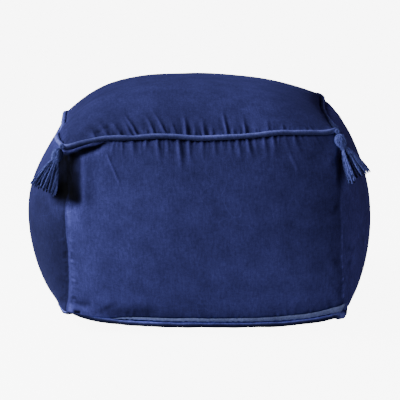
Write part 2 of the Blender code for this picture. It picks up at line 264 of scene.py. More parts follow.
def inside(corners, across, deep):
    """Points of a four-cornered patch, each way from -1 to 1."""
    right, far = (1 + across)[..., None] / 2, (1 + deep)[..., None] / 2
    near_edge = np.array(corners["front_left"]) * (1 - right) + np.array(corners["front_right"]) * right
    far_edge = np.array(corners["back_left"]) * (1 - right) + np.array(corners["back_right"]) * right
    return near_edge * (1 - far) + far_edge * far


def turned(side, along, out):
    """Turns plan positions, given along a side and out from the middle, to that side of the pouf."""
    for _ in range(SIDES.index(side)):
        along, out = out, -along
    return along, -out


def seam_points(corners, corner_round, side, place, bow):
    """Points of a seam that is straight, with a round turn at each corner, and bowed out."""
    straight = 1 - corner_round
    reach = np.abs(place) * (straight + corner_round * math.pi / 4)
    angle = np.maximum(reach - straight, 0) / corner_round
    along = np.minimum(reach, straight) + corner_round * np.sin(angle)
    out = 1 - corner_round * (1 - np.cos(angle)) + bow / HALF
    return inside(corners, *turned(side, along * np.sign(place), out))


def way_out(side, place):
    """The level directions out of a side, which turn to the diagonal towards a corner."""
    turn = np.sign(place) * ramp(np.abs(place), TURNS_FROM, 1) * math.pi / 4
    across, deep = turned(side, np.sin(turn), np.cos(turn))
    return np.stack([across, deep, np.zeros_like(across)], axis=-1)


def unit(vectors):
    """The vectors, made one long."""
    return vectors / np.maximum(np.linalg.norm(vectors, axis=-1, keepdims=True), 1e-12)


def top_seam(side, place):
    """The middle of the top cord, and the way the seam faces."""
    bow, rise = read_curve(TOP_COURSE[side], place).T
    points = seam_points(TOP_CORNERS, TOP_CORNER_ROUND, side, place, bow)
    points[:, 2] += rise
    return points, unit(way_out(side, place) + TOP_SEAM_FACES)


def bottom_seam(side, place):
    """The middle of the bottom cord, and the way the seam faces."""
    bow = BOTTOM_BOW[side] * (1 - place**2)
    points = seam_points(BOTTOM_CORNERS, BOTTOM_CORNER_ROUND, side, place, bow)
    power = np.where(place < 0, *BOTTOM_SAG_POWER)
    points[:, 2] -= BOTTOM_SAG[side] * (1 - np.abs(place) ** power)
    return points, unit(way_out(side, place) + BOTTOM_SEAM_FACES)


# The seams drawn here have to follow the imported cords.
for node, seam in (("top_cord", top_seam), ("bottom_cord", bottom_seam)):
    mesh = bmesh.new()
    mesh.from_mesh(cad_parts[node].data)
    packed_cord = BVHTree.FromBMesh(mesh)
    mesh.free()
    places = np.linspace(-1, 1, CHECKED_PLACES)
    points = np.concatenate([seam(side, places)[0] for side in SIDES])
    furthest = max(packed_cord.find_nearest(Vector(point))[3] for point in points)
    assert furthest < 2 * CORD_RADIUS, f"the packed {node} runs elsewhere: {furthest * 1000:.1f} mm away"
    print(node, f"- its surface is at most {furthest * 1000:.1f} mm from the seam drawn here")

# %% [markdown]
# ## The shape of the filled cover
#
# Filling pushes each panel out furthest a little over half way up, and the seams hold it in. A side panel
# is therefore a sheet stretched between its two seams and pushed outwards. The top panel is a sheet
# stretched inside its seam and pushed up into a dome. All panels are grids of points, with their lines
# closest together where the cloth dives into a seam.

# %% Plain panels
CROWN = 0.058  # how far the top panel rises over its seam
# how far the filling pushes a side panel out, and how full it stands below and above its widest
# height: a lower number is fuller
Filling = namedtuple("Filling", "push full_low full_high")
FILLING = {
    "front": Filling(0.0415, 0.9, 0.85),
    "right": Filling(0.0545, 0.64, 0.52),
    "back": Filling(0.043, 0.9, 0.85),
    "left": Filling(0.0485, 0.66, 1.0),
}
WIDEST = 0.55  # share of a side's height at which it stands out furthest
PUSH_POWER = 2.4  # how squarely a panel's bulge reaches its corner seams
DOME_POWER = {"left": 2.9, "right": 1.45, "front": 3.4, "back": 3.4}
DOME_FULL = {"left": 0.72, "right": 0.6}  # less than 1 makes the dome steeper at the seam
SEAM_DEPTH = 0.0042  # from a cord's middle in to the stitches
SEAM_ROLL = 0.0045  # how soon the cloth comes out of a corded seam
PLAIN_SEAM_DEPTH = 0.0002
PLAIN_SEAM_ROLL = 0.0014
CORNERS = ("front_left", "front_right", "back_right", "back_left")
# How far the filling pushes each plain corner seam out. height up the seam, push out and push down:
# at the front left the cloth hangs over the cord.
CORNER_PUSH = {
    "front_left": (
        (0.0, 0.0, 0.0), (0.03, 0.0135, 0.005), (0.1, 0.0092, 0.001), (0.35, 0.0046, 0.0),
        (0.6, 0.0058, 0.0), (0.88, 0.0052, 0.0), (1.0, 0.0, 0.0),
    ),
    "front_right": (
        (0.0, 0.0, 0.0), (0.03, 0.008, 0.0), (0.1, 0.012, 0.0), (0.35, 0.0115, 0.0), (0.6, 0.0105, 0.0),
        (0.88, 0.0085, 0.0), (1.0, 0.0, 0.0),
    ),
    "back_right": (
        (0.0, 0.0, 0.0), (0.05, 0.009, 0.0), (0.45, 0.008, 0.0), (0.88, 0.006, 0.0), (1.0, 0.0, 0.0),
    ),
    "back_left": (
        (0.0, 0.0, 0.0), (0.05, 0.0085, 0.0), (0.45, 0.007, 0.0), (0.88, 0.0055, 0.0), (1.0, 0.0, 0.0),
    ),
}
CORNER_PUSH_POWER = 5  # how near to its corner that push stays
GRID_COLUMNS = (321, 201, 321, 201)  # lines across each side
GRID_ROWS = 90


def spaced(count, closeness):
    """Places from -1 to 1, with the given share of closer lines towards each end."""
    even = np.linspace(-1, 1, count)
    close = np.sin(even * math.pi / 2)
    return np.clip(even * (1 - closeness) + close * closeness, -1, 1)


COLUMNS = {side: spaced(count, 0.35) for side, count in zip(SIDES, GRID_COLUMNS)}
ROWS = (spaced(GRID_ROWS, 0.75) + 1) / 2


def corner_push(side, place, height):
    """How far the plain seam at each end of a side pushes the panel out, and down."""
    start = SIDES.index(side)
    near, far = (read_curve(CORNER_PUSH[CORNERS[k % 4]], height) for k in (start, start + 1))
    share = (np.abs(place) ** CORNER_PUSH_POWER)[None, :, None]
    return np.where(place[None, :, None] < 0, near[:, None], far[:, None]) * share


def side_panel(side, place, height):
    """A plain side panel: rows of points from the bottom seam to the top one."""
    filling = FILLING[side]
    low, low_faces = bottom_seam(side, place)
    high, high_faces = top_seam(side, place)
    up = height[:, None]
    below = np.sin(math.pi / 2 * np.minimum(up / WIDEST, 1)) ** filling.full_low
    above = np.sin(math.pi / 2 * np.minimum((1 - up) / (1 - WIDEST), 1)) ** filling.full_high
    bulge = np.where(up < WIDEST, below, above) * (1 - np.abs(place) ** PUSH_POWER)
    tall = np.linalg.norm(high - low, axis=1)
    roll_low = SEAM_DEPTH * np.exp(-((up * tall / SEAM_ROLL) ** 2))
    roll_high = SEAM_DEPTH * np.exp(-(((1 - up) * tall / SEAM_ROLL) ** 2))
    from_corner = (1 - np.abs(place)) * HALF
    tuck = PLAIN_SEAM_DEPTH * np.exp(-((from_corner / PLAIN_SEAM_ROLL) ** 2))
    up = up[..., None]
    points = low * (1 - up) + high * up
    corner = corner_push(side, place, height)
    points += way_out(side, place) * (filling.push * bulge - tuck + corner[..., 0])[..., None]
    points[..., 2] -= corner[..., 1]
    return points - low_faces * roll_low[..., None] - high_faces * roll_high[..., None]


def stretched(seam, across, deep):
    """The sheet stretched inside a seam, as a grid of points."""
    front, right = seam("front", across)[0][None], seam("right", deep)[0][:, None]
    back, left = seam("back", -across)[0][None], seam("left", -deep)[0][:, None]
    a, b = (1 + across)[None, :, None] / 2, (1 + deep)[:, None, None] / 2
    near = front[:, :1] * (1 - a) + front[:, -1:] * a
    far = back[:, :1] * (1 - a) + back[:, -1:] * a
    return front * (1 - b) + back * b + left * (1 - a) + right * a - near * (1 - b) - far * b


def top_panel(across, deep):
    """The plain top panel, as rows of points from front to back."""
    points = stretched(top_seam, across, deep)
    wide = 1 - np.abs(across) ** np.where(across < 0, DOME_POWER["left"], DOME_POWER["right"])
    wide = wide ** np.where(across < 0, DOME_FULL["left"], DOME_FULL["right"])
    long = 1 - np.abs(deep) ** np.where(deep < 0, DOME_POWER["front"], DOME_POWER["back"])
    points[..., 2] += CROWN * wide[None] * long[:, None]
    pull = np.zeros_like(points)
    total = np.zeros(points.shape[:2])
    for side, place, gap in (
        ("front", across, (1 + deep)[:, None]),
        ("back", -across, (1 - deep)[:, None]),
        ("right", deep, (1 - across)[None]),
        ("left", -deep, (1 + across)[None]),
    ):
        near = np.exp(-((gap * HALF / SEAM_ROLL) ** 2)) * np.ones_like(total)
        faces = top_seam(side, place)[1]
        faces = faces[None] if side in ("front", "back") else faces[:, None]
        pull += faces * near[..., None]
        total += near
    return points - SEAM_DEPTH * pull / np.maximum(total, 1)[..., None]


print("the front panel's grid has", GRID_COLUMNS[0], "lines across and", GRID_ROWS, "lines up")

# %% [markdown]
# ## Sewing the panels together
#
# The four side panels go round as one band. The top panel is sewn to its upper edge, point to point, and
# the bottom panel runs in from its lower edge in rings down to the floor, where the pouf is flat.

# %% Sewing
BOTTOM_RINGS = (0.995, 0.985, 0.97, 0.95, 0.925, 0.895, 0.86, 0.82, 0.78, 0.72, 0.66, 0.6)
LIES_FLAT = (0.78, 0.6)  # share of the bottom panel that lies on the floor, at its sides and corners
FLAT_CORNER_POWER = 8  # how narrow those corners are
Sewn = namedtuple("Sewn", "points faces band_rows side_rows top_rows bottom_rows")


def quads(grid):
    """What a grid holds at the four corners of each of its quads."""
    return np.stack([grid[:-1, :-1], grid[:-1, 1:], grid[1:, 1:], grid[1:, :-1]], axis=2)


def grid_faces(rows):
    """Faces between rows of vertex numbers."""
    return quads(rows).reshape(-1, 4).tolist()


def closed(rows):
    """Rows of vertex numbers that run right round, back to where they start."""
    return np.concatenate([rows, rows[:, :1]], axis=1)


def new_mesh_object(name, points, faces):
    """A mesh object, smooth all over."""
    mesh = bpy.data.meshes.new(name)
    mesh.from_pydata(points.reshape(-1, 3).tolist(), [], faces)
    mesh.validate()
    made = bpy.data.objects.new(name, mesh)
    bpy.context.collection.objects.link(made)
    mesh.shade_smooth()
    return made


def read_points(mesh, value="co"):
    """A mesh's points, or their normals, as rows."""
    found = np.empty(len(mesh.vertices) * 3)
    mesh.vertices.foreach_get(value, found)
    return found.reshape(-1, 3)


def sew(panels):
    """One closed surface from the panels, with its vertex numbers as rows of each part."""
    band = np.concatenate([panels[side][:, :-1] for side in SIDES], axis=1)
    lines, around = band.shape[:2]
    band_rows = closed(np.arange(lines * around).reshape(lines, around))
    top_rows = np.zeros(panels["top"].shape[:2], int)
    inner = panels["top"][1:-1, 1:-1]
    top_rows[1:-1, 1:-1] = lines * around + np.arange(inner[..., 0].size).reshape(inner.shape[:2])
    corners = np.cumsum([0, *(panels[side].shape[1] - 1 for side in SIDES)])
    ends = zip(SIDES, corners, corners[1:] + 1)
    side_rows = {side: band_rows[:, start:end] for side, start, end in ends}
    front, right, back, left = (rows[-1] for rows in side_rows.values())
    top_rows[0], top_rows[:, -1], top_rows[-1], top_rows[:, 0] = front, right, back[::-1], left[::-1]
    shares = np.array(BOTTOM_RINGS)[:, None]
    rings = band[0] * shares[..., None]
    turn = np.arctan2(np.abs(band[0][:, 1]), np.abs(band[0][:, 0]))
    flat = LIES_FLAT[0] + (LIES_FLAT[1] - LIES_FLAT[0]) * np.sin(2 * turn) ** FLAT_CORNER_POWER
    rings[..., 2] = band[0][:, 2] * np.clip((shares - flat) / (1 - flat), 0, 1) ** 2
    ring_rows = top_rows[-2, -2] + 1 + np.arange(rings[..., 0].size).reshape(rings.shape[:2])
    bottom_rows = np.concatenate([band_rows[:1], closed(ring_rows)])[::-1]
    faces = [face for rows in (band_rows, top_rows, bottom_rows) for face in grid_faces(rows)]
    faces.append(bottom_rows[0, :-1][::-1].tolist())
    points = np.concatenate([band.reshape(-1, 3), inner.reshape(-1, 3), rings.reshape(-1, 3)])
    return Sewn(points, faces, band_rows, side_rows, top_rows, bottom_rows)


# %% [markdown]
# ## Settling the cover
#
# No cover is as even as the plain panels. A cloth simulation sews up a coarser copy of them, lets the
# filling push it out from the inside, and gives it a little too much cloth beside the top seam. The
# cloth finds its own soft folds there. How far each point moved is kept, and limited, and moves the
# fine panels in the same way.

# %% Cloth simulation
SETTLE_COLUMNS = {side: spaced(count, 0.2) for side, count in zip(SIDES, (111, 91, 111, 91))}
SETTLE_ROWS = (spaced(58, 0.4) + 1) / 2
SETTLE_FRAMES = 20
PRESSURE = 4.0
SLACK = -0.12  # share by which the cloth beside the top seam is too long
SLACK_REACH = 0.055  # how far from the seam
STITCH_REACH = (0.002, 0.01)  # from a seam: the stitches hold the cloth, and let go of it
MOST_MOVED = 0.006
LEAST_WEIGHT = 0.001


def from_seams(points, seams):
    """Distance of points to the nearest of the seams' points."""
    tree = KDTree(len(seams))
    for index, place in enumerate(seams):
        tree.insert(place, index)
    tree.balance()
    return np.array([tree.find(point)[2] for point in points])


def weighted(piece, name, weights):
    """A vertex group with a weight for each point."""
    group = piece.vertex_groups.new(name=name)
    for index in np.nonzero(weights > LEAST_WEIGHT)[0].tolist():
        group.add([index], float(weights[index]), "REPLACE")
    return name


def settle(panels):
    """The panels after the filling has pushed them out, as a cloth simulation finds it."""
    cover = sew(panels)
    piece = new_mesh_object("settling_cover", cover.points, cover.faces)
    top = from_seams(cover.points, cover.points[cover.band_rows[-1]])
    bottom = from_seams(cover.points, cover.points[cover.band_rows[0]])
    stitched = 1 - ramp(np.minimum(top, bottom), *STITCH_REACH)
    stitched[cover.bottom_rows.ravel()] = 1
    cloth = piece.modifiers.new("Cloth", "CLOTH")
    settings = cloth.settings
    settings.vertex_group_mass = weighted(piece, "stitched", stitched)
    settings.vertex_group_shrink = weighted(piece, "slack", 1 - ramp(top, 0, SLACK_REACH))
    settings.shrink_min, settings.shrink_max = 0, SLACK
    settings.quality = 5
    settings.mass = 0.3
    settings.tension_stiffness = settings.compression_stiffness = 25
    settings.shear_stiffness = 8
    settings.bending_stiffness = 0.6
    settings.air_damping = 2
    settings.use_pressure = True
    settings.uniform_pressure_force = PRESSURE
    settings.effector_weights.gravity = 0
    cloth.collision_settings.use_collision = False
    cloth.point_cache.frame_start, cloth.point_cache.frame_end = 1, SETTLE_FRAMES
    for moment in range(1, SETTLE_FRAMES + 1):
        bpy.context.scene.frame_set(moment)
    settled = piece.evaluated_get(bpy.context.evaluated_depsgraph_get()).data
    moved = read_points(settled) - cover.points
    length = np.linalg.norm(moved, axis=1, keepdims=True)
    average, most = float(length.mean()) * 1000, float(length.max()) * 1000
    print(f"settled: the cloth moved {average:.2f} mm on average, and {most:.1f} mm at most")
    moved *= MOST_MOVED * np.tanh(length / MOST_MOVED) / np.maximum(length, 1e-9)
    bpy.data.objects.remove(piece)
    bpy.context.scene.frame_set(1)
    return {name: moved[rows] for name, rows in (*cover.side_rows.items(), ("top", cover.top_rows))}


def finer(grid, lines, columns, new_lines, new_columns):
    """A grid of vectors, read off at other lines and columns on smooth curves."""
    table = np.column_stack([lines, grid.reshape(len(lines), -1)])
    grid = read_curve(table, new_lines).reshape(len(new_lines), len(columns), 3).transpose(1, 0, 2)
    table = np.column_stack([columns, grid.reshape(len(columns), -1)])
    return read_curve(table, new_columns).reshape(len(new_columns), len(new_lines), 3).transpose(1, 0, 2)


began = time.time()
plain = {side: side_panel(side, SETTLE_COLUMNS[side], SETTLE_ROWS) for side in SIDES}
plain["top"] = top_panel(SETTLE_COLUMNS["front"], SETTLE_COLUMNS["right"])
moves = settle(plain)
print("simulation took", round(time.time() - began), "s")

# %% [markdown]
# ## Gathers, puckers and pockets
#
# The panels were cut a little larger than the seams they are sewn into, so the extra cloth stands up in
# gathers along the top cord. Each gather is a ridge that leans over to the right, with a valley on both
# sides: highest at the stitches, and fading out into the panel. The main ones are in short tables, and a
# loop adds the small puckers between them. The corners are pulled in by the tassels, which leaves a deep
# pocket at the front left and a crevice at the front right.
# Painted shade darkens the pocket, the crevice and some other hollows, and the wedge under the cord.

# %% Tables of the main gathers and creases
# place is along the side, from -1 to 1. height, length and width are in metres, and lean is how far a
# gather runs sideways for each metre of its length.
Gather = namedtuple("Gather", "place height length lean width")
TOP_GATHERS = [Gather(*row) for row in (
    (-0.765, 0.003, 0.03, -0.25, 0.0056), (-0.715, 0.0022, 0.034, -0.6, 0.006),
    (-0.66, 0.0028, 0.05, -0.42, 0.005), (-0.618, 0.0015, 0.016, -0.3, 0.002),
    (-0.575, 0.0026, 0.038, -0.36, 0.0036), (-0.538, 0.0017, 0.018, -0.18, 0.002),
    (-0.497, 0.0026, 0.048, -0.28, 0.003), (-0.453, 0.0034, 0.054, -0.38, 0.0028),
    (-0.402, 0.0018, 0.02, -0.3, 0.0021), (-0.33, 0.0034, 0.038, -0.28, 0.0026),
    (-0.247, 0.003, 0.048, -0.36, 0.0026), (-0.175, 0.0026, 0.03, -0.24, 0.0026),
    (-0.102, 0.004, 0.042, 0.04, 0.0028), (-0.034, 0.0022, 0.024, -0.06, 0.0024),
    (0.032, 0.003, 0.034, -0.05, 0.0026), (0.089, 0.0022, 0.024, 0.03, 0.0024),
    (0.192, 0.0038, 0.048, -0.02, 0.0022), (0.245, 0.0019, 0.018, 0.00, 0.0022),
    (0.325, 0.0035, 0.036, 0.02, 0.0024), (0.397, 0.0021, 0.02, 0.04, 0.0022),
    (0.484, 0.0016, 0.032, 0.1, 0.0029), (0.607, 0.0019, 0.022, -0.04, 0.0022),
)]
SIDE_GATHERS = [Gather(*row) for row in (
    (-0.609, 0.0019, 0.02, -0.1, 0.003), (-0.51, 0.0028, 0.038, 0.1, 0.004),
    (-0.406, 0.0019, 0.024, 0.00, 0.0026), (-0.327, 0.0031, 0.05, 0.1, 0.003),
    (-0.252, 0.0025, 0.036, 0.05, 0.0026), (-0.165, 0.0038, 0.06, 0.03, 0.0032),
    (-0.095, 0.0025, 0.05, 0.05, 0.003), (0.006, 0.0022, 0.036, 0.00, 0.003),
    (0.096, 0.0024, 0.034, 0.02, 0.0026), (0.151, 0.0016, 0.026, 0.04, 0.0025),
    (0.209, 0.0018, 0.03, 0.04, 0.0026), (0.27, 0.0025, 0.044, 0.06, 0.0028),
    (0.339, 0.0027, 0.046, 0.12, 0.0028), (0.39, 0.0019, 0.03, 0.14, 0.0025),
    (0.457, 0.0025, 0.04, 0.1, 0.0026), (0.524, 0.0025, 0.048, 0.08, 0.0033),
    (0.683, 0.0019, 0.05, 0.16, 0.0035),
)]
VALLEY_SHARE = 0.58  # how deep the valleys beside a ridge are, as a share of its height
VALLEY_SPREAD = 2.3
GATHER_WIDENS = 0.6  # share by which a gather is wider at its end than at the stitches
LEFT_SLOPE, RIGHT_SLOPE = 1.25, 0.75  # a ridge is wider on its left, because it leans to the right
OTHER_SIDES = {"right": 0.6, "back": 0.9, "left": 0.6}  # height of their gathers, by the front's
# Puckers: how far along a side they reach, and from least to most the distance between them, their height
# and their length.
PUCKERS_OVER = (0.8, (0.005, 0.011), (0.0009, 0.0021), (0.008, 0.024))
PUCKERS_UNDER = (0.8, (0.005, 0.011), (0.0008, 0.0019), (0.008, 0.04))
PUCKERS_FOOT = (0.9, (0.006, 0.016), (0.0007, 0.002), (0.008, 0.036))
PUCKERS_CORNER = {side: (0.9, (0.004, 0.01), (0.0003, 0.001), (0.006, 0.022)) for side in SIDES}
PUCKERS_CORNER["left"] = (0.9, (0.004, 0.01), (0.0012, 0.0028), (0.006, 0.022))  # its seam pulls more
PUCKER_WIDTH = 0.002
PUCKER_LEAN = 0.3  # at most, to either side

# Pressed creases in the front panel: from one point to another, given as distances along from the
# panel's middle and up from the floor. height is how far the crease stands out.
Crease = namedtuple("Crease", "start end height width")
CREASES = (
    Crease((-0.192, 0.2625), (-0.146, 0.277), 0.0036, 0.0018),
    Crease((-0.141, 0.262), (-0.121, 0.212), 0.0016, 0.0011),
    Crease((-0.17, 0.025), (-0.13, 0.051), -0.0011, 0.0044),
    Crease((-0.122, 0.15), (-0.104, 0.118), 0.0005, 0.0014),
    Crease((0.13, 0.262), (0.142, 0.232), 0.001, 0.0022),
)
CREASE_STARTS, CREASE_ENDS = (-0.1, 0.15), (0.7, 1.05)  # shares of its length over which it fades

# Hollows: a block of space with soft edges, how far the cloth in it is pushed, and how much painted
# shade darkens the pile there. A block that pushes nothing is painted shade only.
Hollow = namedtuple("Hollow", "low high soft push dark")
HOLLOWS = {
    "pocket": Hollow(
        (-0.215, -0.3, 0.189), (-0.179, -0.165, 0.3), (0.0085, 0.016, 0.009), (0.0, 0.024, 0.0), 0.86
    ),
    "pocket_left": Hollow(
        (-0.215, -0.3, 0.191), (-0.193, -0.15, 0.3), (0.0085, 0.018, 0.009), (0.006, 0.0, 0.0), 0.96
    ),
    "pocket_edge": Hollow(
        (-0.21, -0.3, 0.19), (-0.158, -0.15, 0.32), (0.01, 0.02, 0.016), (0.0, 0.0, 0.0), 0.36
    ),
    "pocket_shade": Hollow(
        (-0.214, -0.3, 0.186), (-0.1755, -0.138, 0.236), (0.0085, 0.02, 0.008), (0.0, 0.0, 0.0), 0.92
    ),
    "pocket_seam": Hollow(
        (-0.206, -0.3, 0.19), (-0.186, -0.15, 0.252), (0.004, 0.02, 0.008), (0.0, 0.0, 0.0), 1.0
    ),
    "crevice": Hollow(
        (0.19, -0.3, 0.216), (0.2, -0.19, 0.262), (0.006, 0.01, 0.016), (-0.002, 0.012, 0.0), 0.86
    ),
    "foot_tuck": Hollow(
        (-0.143, -0.3, 0.006), (-0.072, -0.18, 0.04), (0.014, 0.01, 0.01), (0.0, 0.002, 0.0), 0.32
    ),
    "foot_shade": Hollow(
        (-0.13, -0.3, 0.006), (-0.02, -0.18, 0.035), (0.028, 0.01, 0.012), (0.0, 0.0, 0.0), 0.22
    ),
    "stitch_gap": Hollow(
        (-0.1872, -0.3, 0.028), (-0.1785, -0.18, 0.033), (0.002, 0.01, 0.002), (0.0, 0.004, 0.0), 0.7
    ),
}
LIP_UNDER_CORD = (0.008, 0.019)  # from the top seam: here the cloth stays out, over the pocket
# The wedge of shadow that runs from the pocket to the right, under the cord: how deep it is and how dark,
# where it starts and ends across the front, and the height of its foot, which rises to the right.
WEDGE_DEPTH = 0.008
WEDGE_DARK = 0.68
WEDGE_STARTS, WEDGE_ENDS = (-0.186, -0.172), (-0.156, -0.128)
WEDGE_LEFT, WEDGE_FOOT, WEDGE_SLOPE = -0.178, 0.2535, 0.5
WEDGE_SOFT = (0.005, 0.006)  # under its foot, and over it
# The seam holds the cloth out over this distance at the wedge's left and at its right.
WEDGE_HELD, WEDGE_NARROWS, WEDGE_EDGE = (0.007, 0.003), (-0.155, -0.14), 0.005


def gathered(gathers, along, away):
    """How far gathers raise a panel. along runs along the seam and away from it, both in metres."""
    raised = np.zeros(np.broadcast(along, away).shape)
    for gather in gathers:
        fade = 1 - ramp(away, 0, gather.length)
        off = along - gather.place * HALF - gather.lean * away
        width = gather.width * (1 + GATHER_WIDENS * away / gather.length)
        ridge = np.exp(-((off / width / np.where(off < 0, LEFT_SLOPE, RIGHT_SLOPE)) ** 2))
        valleys = np.exp(-((off / width / VALLEY_SPREAD) ** 2))
        raised += gather.height * fade * (ridge - VALLEY_SHARE * valleys)
    return raised


def puckers(random, reach, spacing, height, length):
    """Small gathers at uneven places from -reach to reach. spacing, height and length are (least, most)."""
    found = []
    place = -reach
    while place < reach:
        place += random.uniform(*spacing) / HALF
        tall, long = random.uniform(*height), random.uniform(*length)
        found.append(Gather(place, tall, long, random.uniform(-PUCKER_LEAN, PUCKER_LEAN), PUCKER_WIDTH))
    return found


def other_side(random, gathers, share):
    """The main gathers of a side that was sewn by the same hands: like the front's, but not the same."""
    return [
        Gather(
            -gather.place + random.uniform(-0.03, 0.03),
            gather.height * random.uniform(0.6, 1.1) * share,
            gather.length * random.uniform(0.6, 1.2),
            gather.lean * random.uniform(-1.0, 1.0),
            gather.width * random.uniform(0.9, 1.3),
        )
        for gather in gathers
    ]


random = np.random.default_rng(7)
gathers_over, gathers_under, gathers_foot, gathers_corner = {}, {}, {}, {}
for side in SIDES:
    over, under = TOP_GATHERS, SIDE_GATHERS
    if side in OTHER_SIDES:
        over, under = (other_side(random, gathers, OTHER_SIDES[side]) for gathers in (over, under))
    gathers_over[side] = [*over, *puckers(random, *PUCKERS_OVER)]
    gathers_under[side] = [*under, *puckers(random, *PUCKERS_UNDER)]
    gathers_foot[side] = puckers(random, *PUCKERS_FOOT)
    gathers_corner[side] = puckers(random, *PUCKERS_CORNER[side])
counts = [sum(map(len, gathers.values())) for gathers in (gathers_over, gathers_under)]
print(counts[0], "gathers over the top seam and", counts[1], "under it")

# %% The panels with their gathers
BULGED_LENGTH = 1.12  # of a side panel's cloth, by the straight distance between its seams
CORNER_HOLDS = 0.004  # from a plain seam, and from the top panel's edge: no gather stands up there
SEAM_HOLDS = 0.003  # the same for a side panel's corded seams


def surface_normals(points, out):
    """Directions square to a grid of points, on the side that out points to."""
    normals = unit(np.cross(np.gradient(points, axis=1), np.gradient(points, axis=0)))
    facing = np.sign(np.sum(normals * out, axis=-1, keepdims=True))
    return normals * np.where(facing == 0, 1, facing)


def crease_lines(along, up):
    """How far the pressed creases stand out of the front panel."""
    raised = np.zeros(along.shape)
    for crease in CREASES:
        start, end = np.array(crease.start), np.array(crease.end)
        run = end - start
        share = ((along - start[0]) * run[0] + (up - start[1]) * run[1]) / (run @ run)
        off = (along - start[0]) * run[1] - (up - start[1]) * run[0]
        fade = ramp(share, *CREASE_STARTS) * (1 - ramp(share, *CREASE_ENDS))
        raised += crease.height * fade * np.exp(-((off / np.linalg.norm(run) / crease.width) ** 2))
    return raised


def within(points, hollow):
    """How far points are inside a hollow's block: 0 outside and 1 well inside."""
    share = np.ones(points.shape[:-1])
    for axis in range(3):
        low, high, soft = hollow.low[axis], hollow.high[axis], hollow.soft[axis]
        share *= ramp(points[..., axis], low - soft, low + soft)
        share *= 1 - ramp(points[..., axis], high - soft, high + soft)
    return share


def within_wedge(points, from_seam):
    """How far points are inside the wedge under the cord, to the right of the pocket."""
    across, up = points[..., 0], points[..., 2]
    foot = WEDGE_FOOT + (across - WEDGE_LEFT) * WEDGE_SLOPE
    share = ramp(up, foot - WEDGE_SOFT[0], foot + WEDGE_SOFT[1]) * (1 - ramp(across, *WEDGE_ENDS))
    share *= ramp(across, *WEDGE_STARTS) * (points[..., 1] < 0)
    held = WEDGE_HELD[0] + (WEDGE_HELD[1] - WEDGE_HELD[0]) * ramp(across, *WEDGE_NARROWS)
    return share * ramp(from_seam, held, held + WEDGE_EDGE)


def hollow_shares(points, from_seam):
    """How far points are inside each hollow. The stitches of the top seam hold the cloth out."""
    held = ramp(from_seam, *LIP_UNDER_CORD)
    return {name: within(points, hollow) * held for name, hollow in HOLLOWS.items()}


def pushed_in(points, from_seam):
    """The points with the hollows pushed in."""
    moved = points.copy()
    for name, share in hollow_shares(points, from_seam).items():
        moved += share[..., None] * np.array(HOLLOWS[name].push)
    moved[..., 1] += WEDGE_DEPTH * within_wedge(points, from_seam)
    return moved


def cloth_height(points):
    """How far the cloth of a side panel runs from seam to seam, at each place along it."""
    return np.linalg.norm(points[-1] - points[0], axis=1)[None] * BULGED_LENGTH


def dressed_side(side, columns, rows):
    """A side panel with all its gathers, creases and hollows."""
    points = side_panel(side, columns, rows)
    out = way_out(side, columns)[None]
    tall = cloth_height(points)
    along, up = columns[None] * HALF, rows[:, None]
    raised = gathered(gathers_under[side], along, (1 - up) * tall)
    raised += gathered(gathers_foot[side], along, up * tall)
    for end, corner in ((1, side), (-1, SIDES[SIDES.index(side) - 1])):
        from_corner = (1 - end * columns[None]) * HALF
        raised += gathered(gathers_corner[corner], (up - 0.5) * 2 * HALF, from_corner)
    raised *= ramp((1 - np.abs(columns[None])) * HALF, 0, CORNER_HOLDS)
    raised *= ramp((1 - up) * tall, 0, SEAM_HOLDS) * ramp(up * tall, 0, SEAM_HOLDS)
    if side == "front":
        raised += crease_lines(along + 0 * up, points[..., 2])
    points = points + surface_normals(points, out) * raised[..., None]
    return pushed_in(points, (1 - up) * tall)


def painted_shade(side, columns, rows):
    """How dark the painted shade of the hollows and of the wedge makes a side panel's pile."""
    points = side_panel(side, columns, rows)
    tall = cloth_height(points)
    from_seam = (1 - rows[:, None]) * tall
    shares = [HOLLOWS[name].dark * share for name, share in hollow_shares(points, from_seam).items()]
    return np.maximum.reduce([*shares, WEDGE_DARK * within_wedge(points, from_seam)])


def dressed_top(columns, lines):
    """The top panel with its gathers."""
    points = top_panel(columns, lines)
    across, deep = columns[None] * HALF, lines[:, None] * HALF
    raised = gathered(gathers_over["front"], across, deep + HALF)
    raised += gathered(gathers_over["back"], -across, HALF - deep)
    raised += gathered(gathers_over["right"], deep, HALF - across)
    raised += gathered(gathers_over["left"], -deep, HALF + across)
    raised *= ramp(HALF - np.abs(across), 0, CORNER_HOLDS) * ramp(HALF - np.abs(deep), 0, CORNER_HOLDS)
    return points + surface_normals(points, [0, 0, 1]) * raised[..., None]


panels = {side: dressed_side(side, COLUMNS[side], ROWS) for side in SIDES}
panels["top"] = dressed_top(COLUMNS["front"], COLUMNS["right"])
print("panels:", {name: grid.shape[:2] for name, grid in panels.items()})

# %% The cover
if moves:
    grids = {side: (SETTLE_ROWS, SETTLE_COLUMNS[side], ROWS, COLUMNS[side]) for side in SIDES}
    grids["top"] = [lines[side] for lines in (SETTLE_COLUMNS, COLUMNS) for side in ("right", "front")]
    panels = {name: panels[name] + finer(moves[name], *grid) for name, grid in grids.items()}
sewn_cover = sew(panels)
cover = new_mesh_object("cover", sewn_cover.points, sewn_cover.faces)
print("the cover has", len(cover.data.vertices), "points and", len(cover.data.polygons), "faces")

# %% The flat pattern of the panels, as a UV map in metres


def flat_pattern(grid):
    """Distances along and across a grid of points, each measured on the cloth."""
    run = []
    for axis in (1, 0):
        steps = np.linalg.norm(np.diff(grid, axis=axis), axis=-1).cumsum(axis=axis)
        run.append(np.insert(steps.mean(axis=1 - axis), 0, 0))
    return np.stack(np.meshgrid(*run), axis=-1)


def corners_of(pattern):
    """The pattern at every face corner of a grid, in the order of its faces."""
    return quads(pattern).reshape(-1, 2)


